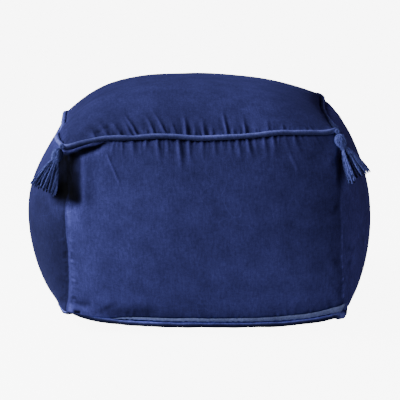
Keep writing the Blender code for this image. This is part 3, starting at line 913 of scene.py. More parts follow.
PANEL_GAP = 0.7  # metres between the panels on the flat pattern
patterns = [flat_pattern(panels[side]) + [index * PANEL_GAP, 0] for index, side in enumerate(SIDES)]
by_row = [corners_of(pattern).reshape(len(ROWS) - 1, -1, 2) for pattern in patterns]
band_pattern = np.concatenate(by_row, axis=1)
top_pattern = corners_of(flat_pattern(panels["top"]) + [0, PANEL_GAP])
under = sewn_cover.points[sewn_cover.bottom_rows][..., :2] + [PANEL_GAP, -PANEL_GAP]
under_pattern, middle_pattern = corners_of(under), under[0, :-1][::-1]
pattern = np.concatenate([band_pattern.reshape(-1, 2), top_pattern, under_pattern, middle_pattern])
cloth_map = cover.data.uv_layers.new(name="cloth")
cloth_map.data.foreach_set("uv", pattern.ravel())
print("flat pattern laid out for", len(pattern), "face corners")

# %% How far each point stands out of the cloth around it


def standing_out(mesh, passes):
    """How far the points of a mesh stand out of a smoothed copy of it."""
    points, normals = read_points(mesh), read_points(mesh, "normal")
    edges = np.empty(len(mesh.edges) * 2, int)
    mesh.edges.foreach_get("vertices", edges)
    edges = edges.reshape(-1, 2)
    ends, others = edges.T.ravel(), edges.T[::-1].ravel()
    neighbours = np.bincount(ends, minlength=len(points))[:, None]
    smooth = points.copy()
    for _ in range(passes):
        columns = [np.bincount(ends, smooth[others, axis], len(points)) for axis in range(3)]
        smooth = smooth / 2 + np.stack(columns, axis=1) / neighbours / 2
    return np.sum((points - smooth) * normals, axis=1)


def keep_values(mesh, name, values):
    """A named value for each point of a mesh, for its material."""
    attribute = mesh.attributes.new(name, "FLOAT", "POINT")
    attribute.data.foreach_set("value", np.asarray(values, np.float32))


# how light each panel's pile looks, partly from its nap and partly as painted light and shade: the left
# panel and the top's left are painted darker and the right panel lighter. place along the panel and tone
PILE_AND_LIGHT_TONES = {
    "front": (
        (-1.0, 1.02), (-0.88, 1.08), (-0.7, 1.02), (-0.45, 0.94), (0.0, 0.98), (0.4, 1.16), (0.65, 1.16),
        (0.82, 0.96), (0.94, 0.98), (1.0, 1.1),
    ),
    "right": ((-1.0, 1.8), (-0.95, 1.9), (-0.9, 2.0), (-0.8, 2.3), (1.0, 2.5)),
    "back": ((-1.0, 1.0), (1.0, 1.0)),
    "left": ((-1.0, 0.55), (0.4, 0.4), (1.0, 0.35)),
    "top": (
        (-1.0, 0.66), (-0.7, 0.78), (-0.45, 0.98), (-0.1, 1.12), (0.2, 1.3), (0.45, 1.48), (0.7, 1.3),
        (1.0, 1.0),
    ),
}
# the same by height up a side panel, and by place from the front of the top panel to its back. The
# front panel is painted darker just under the cord, as painted shade, the left panel lighter towards its
# top, as painted light, and the top panel darker towards its front.
PILE_AND_LIGHT_BY_HEIGHT = {
    "front": ((0.0, 1.1), (0.25, 1.2), (0.5, 1.0), (0.85, 0.95), (0.97, 0.8), (1.0, 0.72)),
    **dict.fromkeys(("right", "back"), ((0.0, 1.1), (0.5, 1.0), (1.0, 0.9))),
    "left": ((0.0, 1.1), (0.5, 1.0), (0.7, 1.15), (0.85, 1.8), (1.0, 2.4)),
}
PILE_AND_LIGHT_BY_DEPTH = ((-1.0, 0.64), (-0.92, 0.74), (-0.78, 0.9), (-0.5, 1.0), (1.0, 1.0))
# the bottom panel's pile, painted darker as painted shade
UNDERSIDE_SHADE_TONE = 0.5
# The pile stands open beside a plain seam and catches the light there, painted as a lighter band that is
# partly a painted highlight. How much lighter it is there, at both ends of a side, how far from the seam the
# middle of that band is, and how far it reaches. The painted shade of the hollows takes it away.
FuzzHighlight = namedtuple("FuzzHighlight", "share middle reach")
SLIGHT_FUZZ_HIGHLIGHT = FuzzHighlight(0.14, 0.004, 0.0036)
SEAM_FUZZ_HIGHLIGHT = {
    "front": (FuzzHighlight(0.34, 0.004, 0.0042), FuzzHighlight(0.95, 0.001, 0.0026)),
    "right": (FuzzHighlight(0.0, 0.004, 0.0036), SLIGHT_FUZZ_HIGHLIGHT),
    "back": (SLIGHT_FUZZ_HIGHLIGHT, SLIGHT_FUZZ_HIGHLIGHT),
    "left": (SLIGHT_FUZZ_HIGHLIGHT, FuzzHighlight(0.0, 0.004, 0.0036)),
}
FUZZ_HIGHLIGHT_UP_TO = (0.6, 0.72)  # height up a side where it fades out
FUZZ_HIGHLIGHT_WAVES = 55  # how quickly the band's edge changes on the way up
FUZZ_HIGHLIGHT_RAGGED = 2.0
FUZZ_HIGHLIGHT_ENDS_APART = 9.1  # so that the bands at the two ends of a side differ


def side_tones(side):
    """Tone of the pile of a side panel, with its painted light and shade, ragged and lighter beside its
    plain seams.
    """
    columns = COLUMNS[side]
    in_light = 1 - painted_shade(side, columns, ROWS)
    tones = read_curve(PILE_AND_LIGHT_TONES[side], columns)[:, 0][None] * read_curve(PILE_AND_LIGHT_BY_HEIGHT[side], ROWS)
    for end, fuzz_highlight in zip((-1, 1), SEAM_FUZZ_HIGHLIGHT[side]):
        course = [Vector((row * FUZZ_HIGHLIGHT_WAVES, FUZZ_HIGHLIGHT_ENDS_APART * end, 0)) for row in ROWS]
        ragged = np.array([noise.noise(point) for point in course])[:, None]
        away = (1 - end * columns[None]) * HALF - fuzz_highlight.middle * (1 + ragged)
        share = fuzz_highlight.share * (1 + FUZZ_HIGHLIGHT_RAGGED * ragged) * (1 - ramp(ROWS[:, None], *FUZZ_HIGHLIGHT_UP_TO))
        tones = tones * (1 + in_light * share * np.exp(-((away / fuzz_highlight.reach) ** 2)))
    return tones


RELIEF_SCALE = 0.001  # the relief is kept in millimetres
MOST_RELIEF = 2
SMOOTHING_PASSES = 60
# distances from the plain seams at a side's left and right end over which its relief comes in
FADE_STARTS = 0.001
SHORT_FADE = 0.006
LONG_FADE = 0.024
RELIEF_FADE = dict.fromkeys(SIDES, (LONG_FADE, LONG_FADE))
RELIEF_FADE |= {"front": (SHORT_FADE, LONG_FADE), "left": (LONG_FADE, SHORT_FADE)}
ridges = standing_out(cover.data, SMOOTHING_PASSES) / RELIEF_SCALE
relief_kept = []
for side in SIDES:
    from_left = (1 + COLUMNS[side][:-1]) * HALF
    from_right = (1 - COLUMNS[side][:-1]) * HALF
    left_fade, right_fade = RELIEF_FADE[side]
    relief_kept.append(ramp(from_left, FADE_STARTS, left_fade) * ramp(from_right, FADE_STARTS, right_fade))
ridges[sewn_cover.band_rows[:, :-1]] *= np.concatenate(relief_kept)
keep_values(cover.data, "relief", np.clip(ridges, -MOST_RELIEF, MOST_RELIEF))
# painted shade of the hollows and the wedge, kept for the material as the hollow value
band_dark = np.concatenate([painted_shade(side, COLUMNS[side], ROWS)[:, :-1] for side in SIDES], axis=1)
hollow = np.zeros(len(sewn_cover.points))
hollow[: band_dark.size] = band_dark.ravel()
keep_values(cover.data, "hollow", hollow)
band_tones = np.concatenate([side_tones(side)[:, :-1] for side in SIDES], axis=1)
top_tones = read_curve(PILE_AND_LIGHT_TONES["top"], COLUMNS["front"])[:, 0] * read_curve(PILE_AND_LIGHT_BY_DEPTH, COLUMNS["right"])
under_tones = np.tile(band_tones[0] * UNDERSIDE_SHADE_TONE, len(BOTTOM_RINGS))
tones = [band_tones.ravel(), top_tones[1:-1, 1:-1].ravel(), under_tones]
keep_values(cover.data, "pile_and_light", np.concatenate(tones))
print(f"relief from {ridges.min():.2f} to {ridges.max():.2f} mm")

# %% [markdown]
# ## Covered cords
#
# A piping cord is a soft cotton cord wrapped in a strip of the same velvet and caught between two panels.
# It lies in its seam, a third of it sunk between the panels. Being pulled round corners by hand it is
# never quite even, so its thickness and its course waver a little. The ends of the bottom cord are joined
# at the front right corner, where they make a small knob.
# The cords' velvet is painted lighter than the cover's, as a painted highlight, and its tone is painted
# light and shade by how it faces the lamp.

# %% Cords
CORD_STEPS = 110  # points along each side
CORD_SIDES_LEVEL = 6
CORD_CLOSER = 0.35  # share of those points that lie closer together towards the corners
CORD_WAVER, CORD_WAVER_WAVE = 0.0008, 0.035
CORD_UNEVEN, CORD_UNEVEN_WAVE = 0.16, 0.018
RIGHT_SIDE = (0.15, 0.175)  # across: here the cords' right side starts
FRONT_SIDE = (-0.21, -0.19)  # deep: here their front ends
FACES_RIGHT = (0.1, 0.6)
RIGHT_SHADE_SHARE = 0.86  # painted shade: share of the light that the cords lose on the right side
RIGHT_TONE = 1.2  # tone painted on the cords' right side where it faces right, a painted light seen from the right
# a thicker place in a cord, which is also moved a little and has its own tone
Lump = namedtuple("Lump", "middle reach thicker shift tone")
JOIN = Lump((0.1945, -0.194, 0.022), 0.0085, 0.5, (0.0012, -0.0016, -0.0024), 2.6)
TO_LIGHT = unit(np.array([-0.5, 0.0, 0.87]))
# how far a cord's surface faces the light, and the painted light and shade of its pile there
TOP_CORD_PAINTED_LIGHT = ((-1.0, 0.3), (-0.3, 0.36), (0.1, 0.52), (0.45, 0.85), (0.72, 1.45), (1.0, 1.9))
BOTTOM_CORD_PAINTED_LIGHT = ((-1.0, 0.1), (-0.3, 0.13), (0.1, 0.22), (0.45, 0.8), (0.72, 2.9), (1.0, 3.4))
# metres across the front, and the top cord's tone there: darker near its left end, lighter to the right
TOP_CORD_FRONT = (
    (-0.2, 1.0), (-0.189, 0.58), (-0.15, 0.56), (-0.138, 0.8), (-0.107, 0.8), (0.0, 1.28), (0.175, 1.28),
)


def waver(points, size, wave, seed):
    """A smooth random wander for each point, up to about size, over lengths of about wave."""
    shift = Vector((seed * 7.3, seed * 3.1, seed * 5.7))
    return np.array([noise.noise_vector(Vector(point) / wave + shift)[:] for point in points]) * size


def sweep(name, lines, thickness, closed, level, radii=None):
    """Round cords along lines of points, made as one curve and turned into a mesh."""
    curve = bpy.data.curves.new(name, "CURVE")
    curve.dimensions = "3D"
    curve.bevel_depth = thickness
    curve.bevel_resolution = level
    curve.use_fill_caps = True
    for index, line in enumerate(lines):
        spline = curve.splines.new("POLY")
        spline.points.add(len(line) - 1)
        spline.points.foreach_set("co", np.column_stack([line, np.ones(len(line))]).ravel())
        if radii is not None:
            spline.points.foreach_set("radius", radii[index])
        spline.use_cyclic_u = closed
        spline.use_smooth = True
    cord = bpy.data.objects.new(name, curve)
    bpy.context.collection.objects.link(cord)
    for other in bpy.context.selected_objects:
        other.select_set(False)
    cord.select_set(True)
    bpy.context.view_layer.objects.active = cord
    bpy.ops.object.convert(target="MESH")
    return bpy.context.object


def in_lump(points, lump):
    """How far points are inside a lump: 1 in its middle."""
    return np.exp(-((np.linalg.norm(points - lump.middle, axis=1) / lump.reach) ** 4))


def covered_cord(name, seam, seed, lump=None):
    """The covered cord all round a seam, with a lump where its ends are joined."""
    places = spaced(CORD_STEPS, CORD_CLOSER)[:-1]
    line = np.concatenate([seam(side, places)[0] for side in SIDES])
    line += waver(line, CORD_WAVER, CORD_WAVER_WAVE, seed)
    uneven = 1 + waver(line, CORD_UNEVEN, CORD_UNEVEN_WAVE, seed + 1)[:, 0]
    if lump:
        near = in_lump(line, lump)
        uneven += lump.thicker * near
        line += np.outer(near, lump.shift)
    return sweep(name, [line], CORD_RADIUS, True, CORD_SIDES_LEVEL, [uneven])


def cord_tones(cord, tones, away_from, lump=None, across_front=((-1.0, 1.0), (1.0, 1.0))):
    """Painted light and shade on a cord's velvet, by how it faces the light. Its right side is painted
    darker, and lifted where it faces right.

    away_from is the stretch of depth in which that side starts.
    """
    points, normals = read_points(cord.data), read_points(cord.data, "normal")
    in_right_shade = ramp(points[:, 0], *RIGHT_SIDE) * ramp(points[:, 1], *away_from)
    lit = read_curve(tones, normals @ TO_LIGHT)[:, 0]
    lit *= 1 - RIGHT_SHADE_SHARE * in_right_shade
    in_front = 1 - ramp(points[:, 1], *FRONT_SIDE)
    lit *= 1 + in_front * (read_curve(across_front, points[:, 0])[:, 0] - 1)
    turned_right = ramp(points[:, 0], *RIGHT_SIDE) * ramp(normals[:, 0], *FACES_RIGHT)
    lit += (RIGHT_TONE - lit) * turned_right
    if lump:
        near = in_lump(points, lump)
        lit += (lump.tone - lit) * near
    keep_values(cord.data, "pile_and_light", lit)


top_piping = covered_cord("top_piping", top_seam, 1)
bottom_piping = covered_cord("bottom_piping", bottom_seam, 3, JOIN)
cord_tones(top_piping, TOP_CORD_PAINTED_LIGHT, (-0.206, -0.196), across_front=TOP_CORD_FRONT)
cord_tones(bottom_piping, BOTTOM_CORD_PAINTED_LIGHT, (-0.184, -0.174), JOIN)
print("cords have", len(top_piping.data.polygons), "and", len(bottom_piping.data.polygons), "faces")

# %% [markdown]
# ## The folded lip
#
# The fastening in the front of the bottom seam is hidden by a lip: a strip of velvet folded double, sewn
# in just over the cord. It is narrow where it is pulled tight, and stands wider at its free right end.
# Its velvet is painted much lighter than the cover's, as a painted highlight.

# %% Lip
LIP_PLACES = np.linspace(-0.7, 0.985, 150)
LIP_FOOT = 0.016  # height of its sewn edge, as a share of the panel's
# place, height of the lip's edge as a share of the panel's, how far that edge stands out, and how far
# the lip hangs down
LIP_EDGE = (
    (-0.7, 0.018, 0.0006, 0.0), (-0.6, 0.03, 0.0012, 0.0), (-0.3, 0.036, 0.0018, 0.0),
    (0.2, 0.038, 0.002, 0.0), (0.55, 0.041, 0.0022, 0.0), (0.8, 0.05, 0.0026, 0.0),
    (0.9, 0.058, 0.0034, 0.0), (0.96, 0.063, 0.004, 0.001), (0.985, 0.066, 0.0042, 0.0022),
)
LIP_THICKNESS = 0.0018
LIP_FRONT, LIP_BACK = 0.9, 0.5  # how far its two layers stand out from the middle, in thicknesses
LIP_TURNS = 12  # points round its section
LIP_WAVER, LIP_WAVER_WAVE = 0.0006, 0.03
FOOT_HANGS = 0.8  # how far the foot comes out where the lip hangs down, by how far it hangs


def panel_points(side, place, height):
    """Points of a finished side panel, at places along it and heights up it."""
    grid = panels[side]
    column = np.interp(place, COLUMNS[side], np.arange(len(COLUMNS[side])))
    row = np.interp(height, ROWS, np.arange(len(ROWS)))
    left, low = np.floor(column).astype(int), np.floor(row).astype(int)
    right, high = np.minimum(left + 1, len(COLUMNS[side]) - 1), np.minimum(low + 1, len(ROWS) - 1)
    a, b = (column - left)[:, None], (row - low)[:, None]
    lower = grid[low, left] * (1 - a) + grid[low, right] * a
    upper = grid[high, left] * (1 - a) + grid[high, right] * a
    return lower * (1 - b) + upper * b


def full_turn(count):
    """Angles that go round once, in even steps."""
    return np.linspace(0, 2 * math.pi, count + 1)[:-1]


edge_height, stand_off, hang = read_curve(LIP_EDGE, LIP_PLACES).T
out = way_out("front", LIP_PLACES)
lip_foot = panel_points("front", LIP_PLACES, np.full(len(LIP_PLACES), LIP_FOOT))
lip_edge = panel_points("front", LIP_PLACES, edge_height)
lip_edge += out * stand_off[:, None] + waver(lip_edge, LIP_WAVER, LIP_WAVER_WAVE, 8)
lip_foot += out * (hang * FOOT_HANGS)[:, None] - np.outer(hang, [0, 0, 1])
rings = []
for turn in full_turn(LIP_TURNS):
    share = 0.5 - 0.5 * math.cos(turn)
    thick = LIP_THICKNESS * (0.5 + (LIP_FRONT if turn < math.pi else LIP_BACK) * math.sin(turn))
    rings.append(lip_foot * (1 - share) + lip_edge * share + out * thick)
lip_rows = np.arange(LIP_TURNS * len(LIP_PLACES)).reshape(LIP_TURNS, len(LIP_PLACES))
lip_ends = [lip_rows[:, 0].tolist(), lip_rows[:, -1][::-1].tolist()]
lip_rows = np.concatenate([lip_rows, lip_rows[:1]])
lip = new_mesh_object("lip", np.stack(rings), [*grid_faces(lip_rows), *lip_ends])
widest = float(np.linalg.norm(lip_edge - lip_foot, axis=1).max())
print(f"the lip stands {widest * 1000:.1f} mm at its widest")

# %% [markdown]
# ## Tassels
#
# A tassel is a bundle of yarns folded over its hanging loop. The fold makes the round head, a few turns of
# yarn bind the neck, and the cut ends spread below it. Every yarn is two strands twisted together, which
# is what makes it look like yarn and not like wire, so each is swept as two strands that wind round one
# line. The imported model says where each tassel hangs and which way.

# %% Yarn
STRAND_RADIUS = 0.0008
STRAND_OFFSET = 0.00064
TWIST_PITCH = 0.009
NO_YARN_RUNS = (0.31, 0.87, 0.38)  # this way, so it can be squared with every yarn
LOOP_RADIUS = (0.002, 0.0021)  # sideways, and along the tassel
LOOP_CORD_RADIUS = 0.002
LOOP_SHIFT = (0.0015, 0.001)
RING_STEPS, COIL_STEPS = 32, 97
BINDING_RADIUS = (0.0052, 0.0049)
BINDING_YARN_RADIUS = 0.00062
BINDING_FROM, BINDING_TO, BINDING_TURNS = 0.0212, 0.0252, 4  # distances down the tassel
YARN_TONES = (0.2, 1.3)  # painted shade between the yarns, and painted light on the outermost ones
YARN_SHADES = {"head": (0.5, 1.5), "skirt": (0.12, 1.85)}  # some yarns catch more light than others
# the front left tassel hangs in the shade of the pouf, and its right side in the pocket's shadow: metres
# across where that shadow starts and ends, and its tone
SHADE_TONES = {"head": 0.85, "skirt": 0.55}
IN_SHADOW = (-0.21, -0.204)
SHADOW_TONE = 0.22
# for each tassel: how wide one side of the skirt is, how much longer it is there, and how far it sits up
SKIRT_SET = {
    "front_left": (1.0, 0.0, 0.0045),
    "front_right": (0.82, 0.0035, 0.0),
    "back_right": (1.0, 0.0, 0.0),
    "back_left": (0.9, 0.002, 0.0),
}
HEAD_MIDDLE = 0.0125  # from the top of a tassel down to the middle of its head
HEAD_YARNS = 26
HEAD_STEPS = 14
HEAD_TWIST = 14  # radians for each metre down
HEAD_UNEVEN = 0.06  # radians
SKIRT_OUTER, SKIRT_INNER = 34, 16
SKIRT_STEPS = 18
CUT_UNEVENLY = 0.0065
DRIFT = 0.1  # radians, sideways
YARN_WAVER, YARN_WAVER_WAVE = 0.0016, 0.022
# how far out the outer and inner yarns of the skirt run, as a share of its outline
OUTER_REACH, INNER_REACH = (0.9, 1.0), (0.3, 0.75)
# how far out the yarns' tones start to rise, and where they are highest, by the outline
TONES_RISE = {"head": (0.92, 1.13), "skirt": (0.6, 1.04)}
# distance down the tassel, half width and half thickness
HEAD_SHAPE = (
    (0.0036, 0.0016, 0.0016), (0.0052, 0.0044, 0.0042), (0.008, 0.0067, 0.0064), (0.013, 0.0076, 0.0072),
    (0.018, 0.0066, 0.0063), (0.0215, 0.0044, 0.0042), (0.025, 0.0036, 0.0034),
)
SKIRT_SHAPE = (
    (0.0235, 0.0036, 0.0034), (0.029, 0.0066, 0.0052), (0.038, 0.0108, 0.0068), (0.05, 0.0148, 0.0082),
    (0.062, 0.0182, 0.009), (0.072, 0.02, 0.009),
)


def twisted(line, start_angle):
    """Two strands that wind round a line of points."""
    along = unit(np.gradient(line, axis=0))
    side = unit(np.cross(along, NO_YARN_RUNS))
    other = np.cross(along, side)
    run = np.concatenate([[0], np.cumsum(np.linalg.norm(np.diff(line, axis=0), axis=1))])
    angle = (start_angle + run / TWIST_PITCH * 2 * math.pi)[:, None]
    off = (side * np.cos(angle) + other * np.sin(angle)) * STRAND_OFFSET
    return [line + off, line - off]


def tassel_lines(random, wide, thick, down, top, skirt_set):
    """Lines of the yarns of a tassel's head and skirt, from its top downwards."""
    side_width, side_longer, sits_up = skirt_set

    def at(distance, across, deep):
        return top + np.outer(distance, down) + np.outer(across, wide) + np.outer(deep, thick)

    head, skirt = [], []
    down_it = np.linspace(0, 1, SKIRT_STEPS)
    for index in range(HEAD_YARNS):
        distance = np.linspace(HEAD_SHAPE[0][0], HEAD_SHAPE[-1][0], HEAD_STEPS)
        half_width, half_thickness = read_curve(HEAD_SHAPE, distance).T
        angle = 2 * math.pi * index / HEAD_YARNS + HEAD_TWIST * distance
        angle += random.uniform(-HEAD_UNEVEN, HEAD_UNEVEN)
        head.append(at(distance, half_width * np.cos(angle), half_thickness * np.sin(angle)))
    for index in range(SKIRT_OUTER + SKIRT_INNER):
        outer = index < SKIRT_OUTER
        length = SKIRT_SHAPE[-1][0] - random.uniform(0.0, CUT_UNEVENLY)
        distance = np.linspace(SKIRT_SHAPE[0][0], length, SKIRT_STEPS)
        half_width, half_thickness = read_curve(SKIRT_SHAPE, distance).T
        angle = 2 * math.pi * index / (SKIRT_OUTER if outer else SKIRT_INNER)
        on_side = max(0.0, math.cos(angle))
        half_width = half_width * (1 - (1 - side_width) * on_side)
        distance = distance + side_longer * on_side * down_it - sits_up
        drift = random.normal(0, DRIFT) + random.normal(0, DRIFT) * down_it**2
        reach = random.uniform(*(OUTER_REACH if outer else INNER_REACH))
        across = half_width * reach * np.cos(angle + drift)
        deep = half_thickness * reach * np.sin(angle + drift)
        line = at(distance, across, deep)
        line += waver(line, YARN_WAVER, YARN_WAVER_WAVE, index) * down_it[:, None]
        skirt.append(line)
    return head, skirt


def reach_of(piece, shape, top, wide, thick, down):
    """How far out the points of a piece are from a tassel's middle line, 1 being its outline."""
    off = read_points(piece.data) - top
    half_width, half_thickness = read_curve(shape, np.clip(off @ down, shape[0][0], shape[-1][0])).T
    return np.hypot(off @ wide / half_width, off @ thick / half_thickness)


random = np.random.default_rng(11)
shades = np.random.default_rng(23)
tassels = {}
for corner in CORNERS:
    middles = {}
    for part in ("loop", "head", "skirt"):
        middles[part] = read_points(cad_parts[f"{part}_{corner}"].data).mean(axis=0)
    down = unit(middles["skirt"] - middles["head"])
    faces_out = np.array([0, -1.0 if corner.startswith("front") else 1.0, 0])
    wide = unit(np.cross(faces_out, -down))
    thick = np.cross(-down, wide)
    top = middles["head"] - down * HEAD_MIDDLE
    head, skirt = tassel_lines(random, wide, thick, down, top, SKIRT_SET[corner])
    pieces = {}
    for part, yarns in (("head", head), ("skirt", skirt)):
        strands = [strand for line in yarns for strand in twisted(line, random.uniform(0, 6))]
        pieces[part] = sweep(f"yarn_{part}_{corner}", strands, STRAND_RADIUS, False, 1)
    turn = full_turn(RING_STEPS)
    ring = middles["loop"] - wide * LOOP_SHIFT[0] - down * LOOP_SHIFT[1]
    ring = ring + np.outer(np.cos(turn) * LOOP_RADIUS[0], wide)
    ring = ring - np.outer(np.sin(turn) * LOOP_RADIUS[1], down)
    pieces["loop"] = sweep(f"yarn_loop_{corner}", [ring], LOOP_CORD_RADIUS, True, 3)
    turn = np.linspace(0, BINDING_TURNS * 2 * math.pi, COIL_STEPS)
    coil = top + np.outer(np.linspace(BINDING_FROM, BINDING_TO, COIL_STEPS), down)
    coil = coil + np.outer(np.cos(turn) * BINDING_RADIUS[0], wide)
    coil = coil + np.outer(np.sin(turn) * BINDING_RADIUS[1], thick)
    pieces["binding"] = sweep(f"yarn_binding_{corner}", [coil], BINDING_YARN_RADIUS, False, 2)
    low, high = YARN_TONES
    for part, yarns, shape in (("head", head, HEAD_SHAPE), ("skirt", skirt, SKIRT_SHAPE)):
        raised = ramp(reach_of(pieces[part], shape, top, wide, thick, down), *TONES_RISE[part])
        shade = shades.uniform(*YARN_SHADES[part], len(yarns))
        tone = (low + (high - low) * raised) * np.repeat(shade, len(raised) // len(yarns))
        if corner == "front_left":
            in_shadow = ramp(read_points(pieces[part].data)[:, 0], *IN_SHADOW)
            tone *= SHADE_TONES[part] * (1 - (1 - SHADOW_TONE) * in_shadow)
        keep_values(pieces[part].data, "pile_and_light", tone)
    for part in ("loop", "binding"):
        keep_values(pieces[part].data, "pile_and_light", np.ones(len(pieces[part].data.vertices)))
    tassels[corner] = pieces
print("each tassel's skirt has", len(tassels["front_left"]["skirt"].data.polygons), "faces")

# %% [markdown]
# ## Velvet
#
# Velvet is a dense brush of short dyed fibres. It is dark seen straight on and lighter where it is seen
# along the fibres, which the sheen of the shader gives. Hands and packing have brushed its pile this way
# and that, so its tone drifts in soft clouds and short streaks along the cloth. Ridges, where the pile
# opens, look lighter, and valleys, where it closes, look nearly black: the tone paints a highlight on the
# ridges and shade in the valleys, and black shade in the hollows.

# %% Node helpers


def noise_value(tree, place, scale, detail=2.0, roughness=0.55):
    """Soft random values from 0 to 1."""
    links = {"Vector": place, "Scale": scale, "Detail": detail, "Roughness": roughness}
    return wire(tree, "ShaderNodeTexNoise", links).outputs["Fac"]


def mapped(tree, value, low, high, to_low, to_high):
    """The value, moved from one range to another and kept in it."""
    links = {"Value": value, "From Min": low, "From Max": high, "To Min": to_low, "To Max": to_high}
    return wire(tree, "ShaderNodeMapRange", links).outputs["Result"]


def maths(tree, operation, *values):
    """The result of one calculation."""
    return wire(tree, "ShaderNodeMath", enumerate(values), operation=operation).outputs[0]


def product(tree, *values):
    """Two values multiplied."""
    return maths(tree, "MULTIPLY", *values)


def named_value(tree, name):
    """A value that the mesh keeps for each of its points."""
    return wire(tree, "ShaderNodeAttribute", attribute_name=name).outputs["Fac"]


# %% The pile of the velvet, as a node group
CLOUD_SCALE, CLOUD_SHARE = 38, 0.22
FLUFF_SCALE, FLUFF_SHARE = 240, 0.2
STREAK_STRETCH = (360, 75, 360)
STREAK_SHARE = 0.16
GRAIN_SCALE, GRAIN_SHARE = 700, 0.16
SCRATCH_SCALE, SCRATCH_WIDTH, SCRATCH_SHARE = 19, 0.01, 0.3
PATCH_SCALE = SCRATCH_SCALE / 2.3  # of the patches in which the scratches show
LINT_SCALE, LINT_SIZE, LINT_SHARE = 62, 0.045, 0.9

pile = bpy.data.node_groups.new("pile", "ShaderNodeTree")
for name, kind in (("Color", "Color"), ("Place", "Vector"), ("Tone", "Float")):
    pile.interface.new_socket(name, in_out="INPUT", socket_type=f"NodeSocket{kind}")
pile.interface.new_socket("Color", in_out="OUTPUT", socket_type="NodeSocketColor")
pile.interface.new_socket("Height", in_out="OUTPUT", socket_type="NodeSocketFloat")
given = pile.nodes.new("NodeGroupInput")
result = pile.nodes.new("NodeGroupOutput")
place = given.outputs["Place"]
clouds = noise_value(pile, place, CLOUD_SCALE, 4)
fluff = noise_value(pile, place, FLUFF_SCALE, 2, 0.7)
longer = wire(pile, "ShaderNodeVectorMath", {0: place, 1: STREAK_STRETCH}, operation="MULTIPLY")
streaks = noise_value(pile, longer.outputs[0], 1.0, 2)
grain = noise_value(pile, place, GRAIN_SCALE, 1)
tone = given.outputs["Tone"]
shares = ((clouds, CLOUD_SHARE), (fluff, FLUFF_SHARE), (streaks, STREAK_SHARE), (grain, GRAIN_SHARE))
for value, share in shares:
    tone = product(pile, tone, mapped(pile, value, 0.25, 0.75, 1 - share, 1 + share))

# Fine scratches, where something was drawn over the pile, and a few specks of lint.
winding = noise_value(pile, place, SCRATCH_SCALE, 1, 0.5)
off_line = maths(pile, "ABSOLUTE", maths(pile, "SUBTRACT", winding, 0.5))
scratches = mapped(pile, off_line, 0, SCRATCH_WIDTH, 1, 0)
patches = mapped(pile, noise_value(pile, place, PATCH_SCALE, 1), 0.5, 0.62, 0, SCRATCH_SHARE)
tone = product(pile, tone, maths(pile, "ADD", product(pile, scratches, patches), 1.0))
cells = wire(pile, "ShaderNodeTexVoronoi", {"Vector": place, "Scale": LINT_SCALE})
specks = mapped(pile, cells.outputs["Distance"], 0, LINT_SIZE, LINT_SHARE, 0)
tone = product(pile, tone, maths(pile, "ADD", specks, 1.0))
scaled = wire(pile, "ShaderNodeVectorMath", {0: given.outputs["Color"], "Scale": tone}, operation="SCALE")
pile.links.new(scaled.outputs[0], result.inputs["Color"])
height = maths(pile, "ADD", product(pile, streaks, 0.5), grain)
pile.links.new(height, result.inputs["Height"])
print("pile group has", len(pile.nodes), "nodes")

# %% Velvet of the cover, velvet of the cords, and yarn
NAVY = (0.0385, 0.0405, 0.162, 1)
# the cords' velvet, painted lighter than the cover's as a painted highlight
CORD_NAVY_HIGHLIT = (0.09, 0.1, 0.33, 1)
# the lip's velvet, painted much lighter than the cover's as a painted highlight
LIP_NAVY_HIGHLIT = (0.24, 0.285, 0.6, 1)
YARN_NAVY = (0.09, 0.105, 0.34, 1)
SHEEN_TINT = (0.24, 0.26, 1.0, 1)
PILE_HEIGHT = 0.00025
# millimetres that the cloth stands out, and the tone painted there: painted shade in valleys and a
# painted highlight on ridges
RELIEF_SHADE_AND_HIGHLIGHT = ((-1.6, 0.2), (-0.5, 0.62), (0.0, 1.0), (0.5, 1.28), (1.6, 1.7))
CURVE_TOP = 4.0  # the tone that stands at the top of the curve node
HOLLOW_SHADE_TONE = 0.03  # tone of the painted shade in the darkest hollow


def velvet(name, color, sheen, place_socket, tone_socket):
    """A velvet material. The sockets come from functions that are given the material's tree."""
    material, tree, shader, output = new_material(name)
    links = {"Color": color, "Place": place_socket(tree), "Tone": tone_socket(tree)}
    brushed = wire(tree, "ShaderNodeGroup", node_tree=pile)
    fill_in(tree, brushed, links)
    relief = {"Height": brushed.outputs["Height"], "Strength": 1.0, "Distance": PILE_HEIGHT}
    looks = {
        "Base Color": brushed.outputs["Color"],
        "Normal": wire(tree, "ShaderNodeBump", relief).outputs["Normal"],
        "Roughness": 0.85,
        "Specular IOR Level": 0.05,
        "Sheen Weight": sheen,
        "Sheen Roughness": 0.35,
        "Sheen Tint": SHEEN_TINT,
    }
    fill_in(tree, shader, looks)
    return material


def on_pattern(tree):
    """Places on the cover's flat pattern."""
    return wire(tree, "ShaderNodeUVMap", uv_map="cloth").outputs[0]


def on_object(tree):
    """Places on the piece as it stands."""
    return wire(tree, "ShaderNodeTexCoord").outputs["Object"]


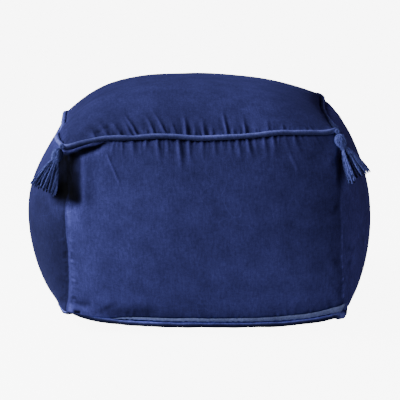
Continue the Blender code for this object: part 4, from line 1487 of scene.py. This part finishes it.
def cover_tone(tree):
    """Tone of the cover's pile, with painted light and shade: by panel, a painted highlight on ridges,
    painted shade in valleys and black painted shade in hollows.
    """
    relief = mapped(tree, named_value(tree, "relief"), -MOST_RELIEF, MOST_RELIEF, 0, 1)
    curve = wire(tree, "ShaderNodeFloatCurve", {"Value": relief})
    line = curve.mapping.curves[0]
    for end, (_, tone) in enumerate((RELIEF_SHADE_AND_HIGHLIGHT[0], RELIEF_SHADE_AND_HIGHLIGHT[-1])):
        line.points[end].location = (end, tone / CURVE_TOP)
    for relief_mm, tone in RELIEF_SHADE_AND_HIGHLIGHT:
        line.points.new((relief_mm + MOST_RELIEF) / (2 * MOST_RELIEF), tone / CURVE_TOP)
    curve.mapping.update()
    toned = product(tree, product(tree, curve.outputs[0], CURVE_TOP), named_value(tree, "pile_and_light"))
    return product(tree, toned, mapped(tree, named_value(tree, "hollow"), 0, 1, 1, HOLLOW_SHADE_TONE))


def pile_and_light_tone(tree):
    """Tone of a cord's or a tassel's pile, with its painted light and shade."""
    return named_value(tree, "pile_and_light")


def even_tone(tree):
    """The same tone all over."""
    return 1.0


cover_velvet = velvet("navy_velvet", NAVY, 0.1, on_pattern, cover_tone)
cord_velvet = velvet("navy_cord_velvet", CORD_NAVY_HIGHLIT, 0.25, on_object, pile_and_light_tone)
lip_velvet = velvet("navy_lip_velvet", LIP_NAVY_HIGHLIT, 0.25, on_object, even_tone)
yarn = velvet("navy_yarn", YARN_NAVY, 0.25, on_object, pile_and_light_tone)
print("materials:", [material.name for material in (cover_velvet, cord_velvet, lip_velvet, yarn)])

# %% Finish
made = {
    cover: (["body"], cover_velvet, "velvet"),
    top_piping: (["top_cord"], cord_velvet, "cord_velvet"),
    bottom_piping: (["bottom_cord"], cord_velvet, "cord_velvet"),
    lip: (["closure_lip"], lip_velvet, "cord_velvet"),
}
for corner, pieces in tassels.items():
    for part, piece in pieces.items():
        made[piece] = ([f"{part}_{corner}"], yarn, "yarn")
for piece, (nodes, material, slot) in made.items():
    piece.data.materials.clear()
    piece.data.materials.append(material)
    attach(piece, "root")
    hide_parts(*nodes)
print(len(made), "pieces dressed")

# %% Sizes, and the end
dressed_box = [list(corner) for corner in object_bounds()]
boxes = {"cad": cad_box, "visual": dressed_box}
boxes = {name: [[float(value) for value in corner] for corner in box] for name, box in boxes.items()}
print("boxes:", boxes)
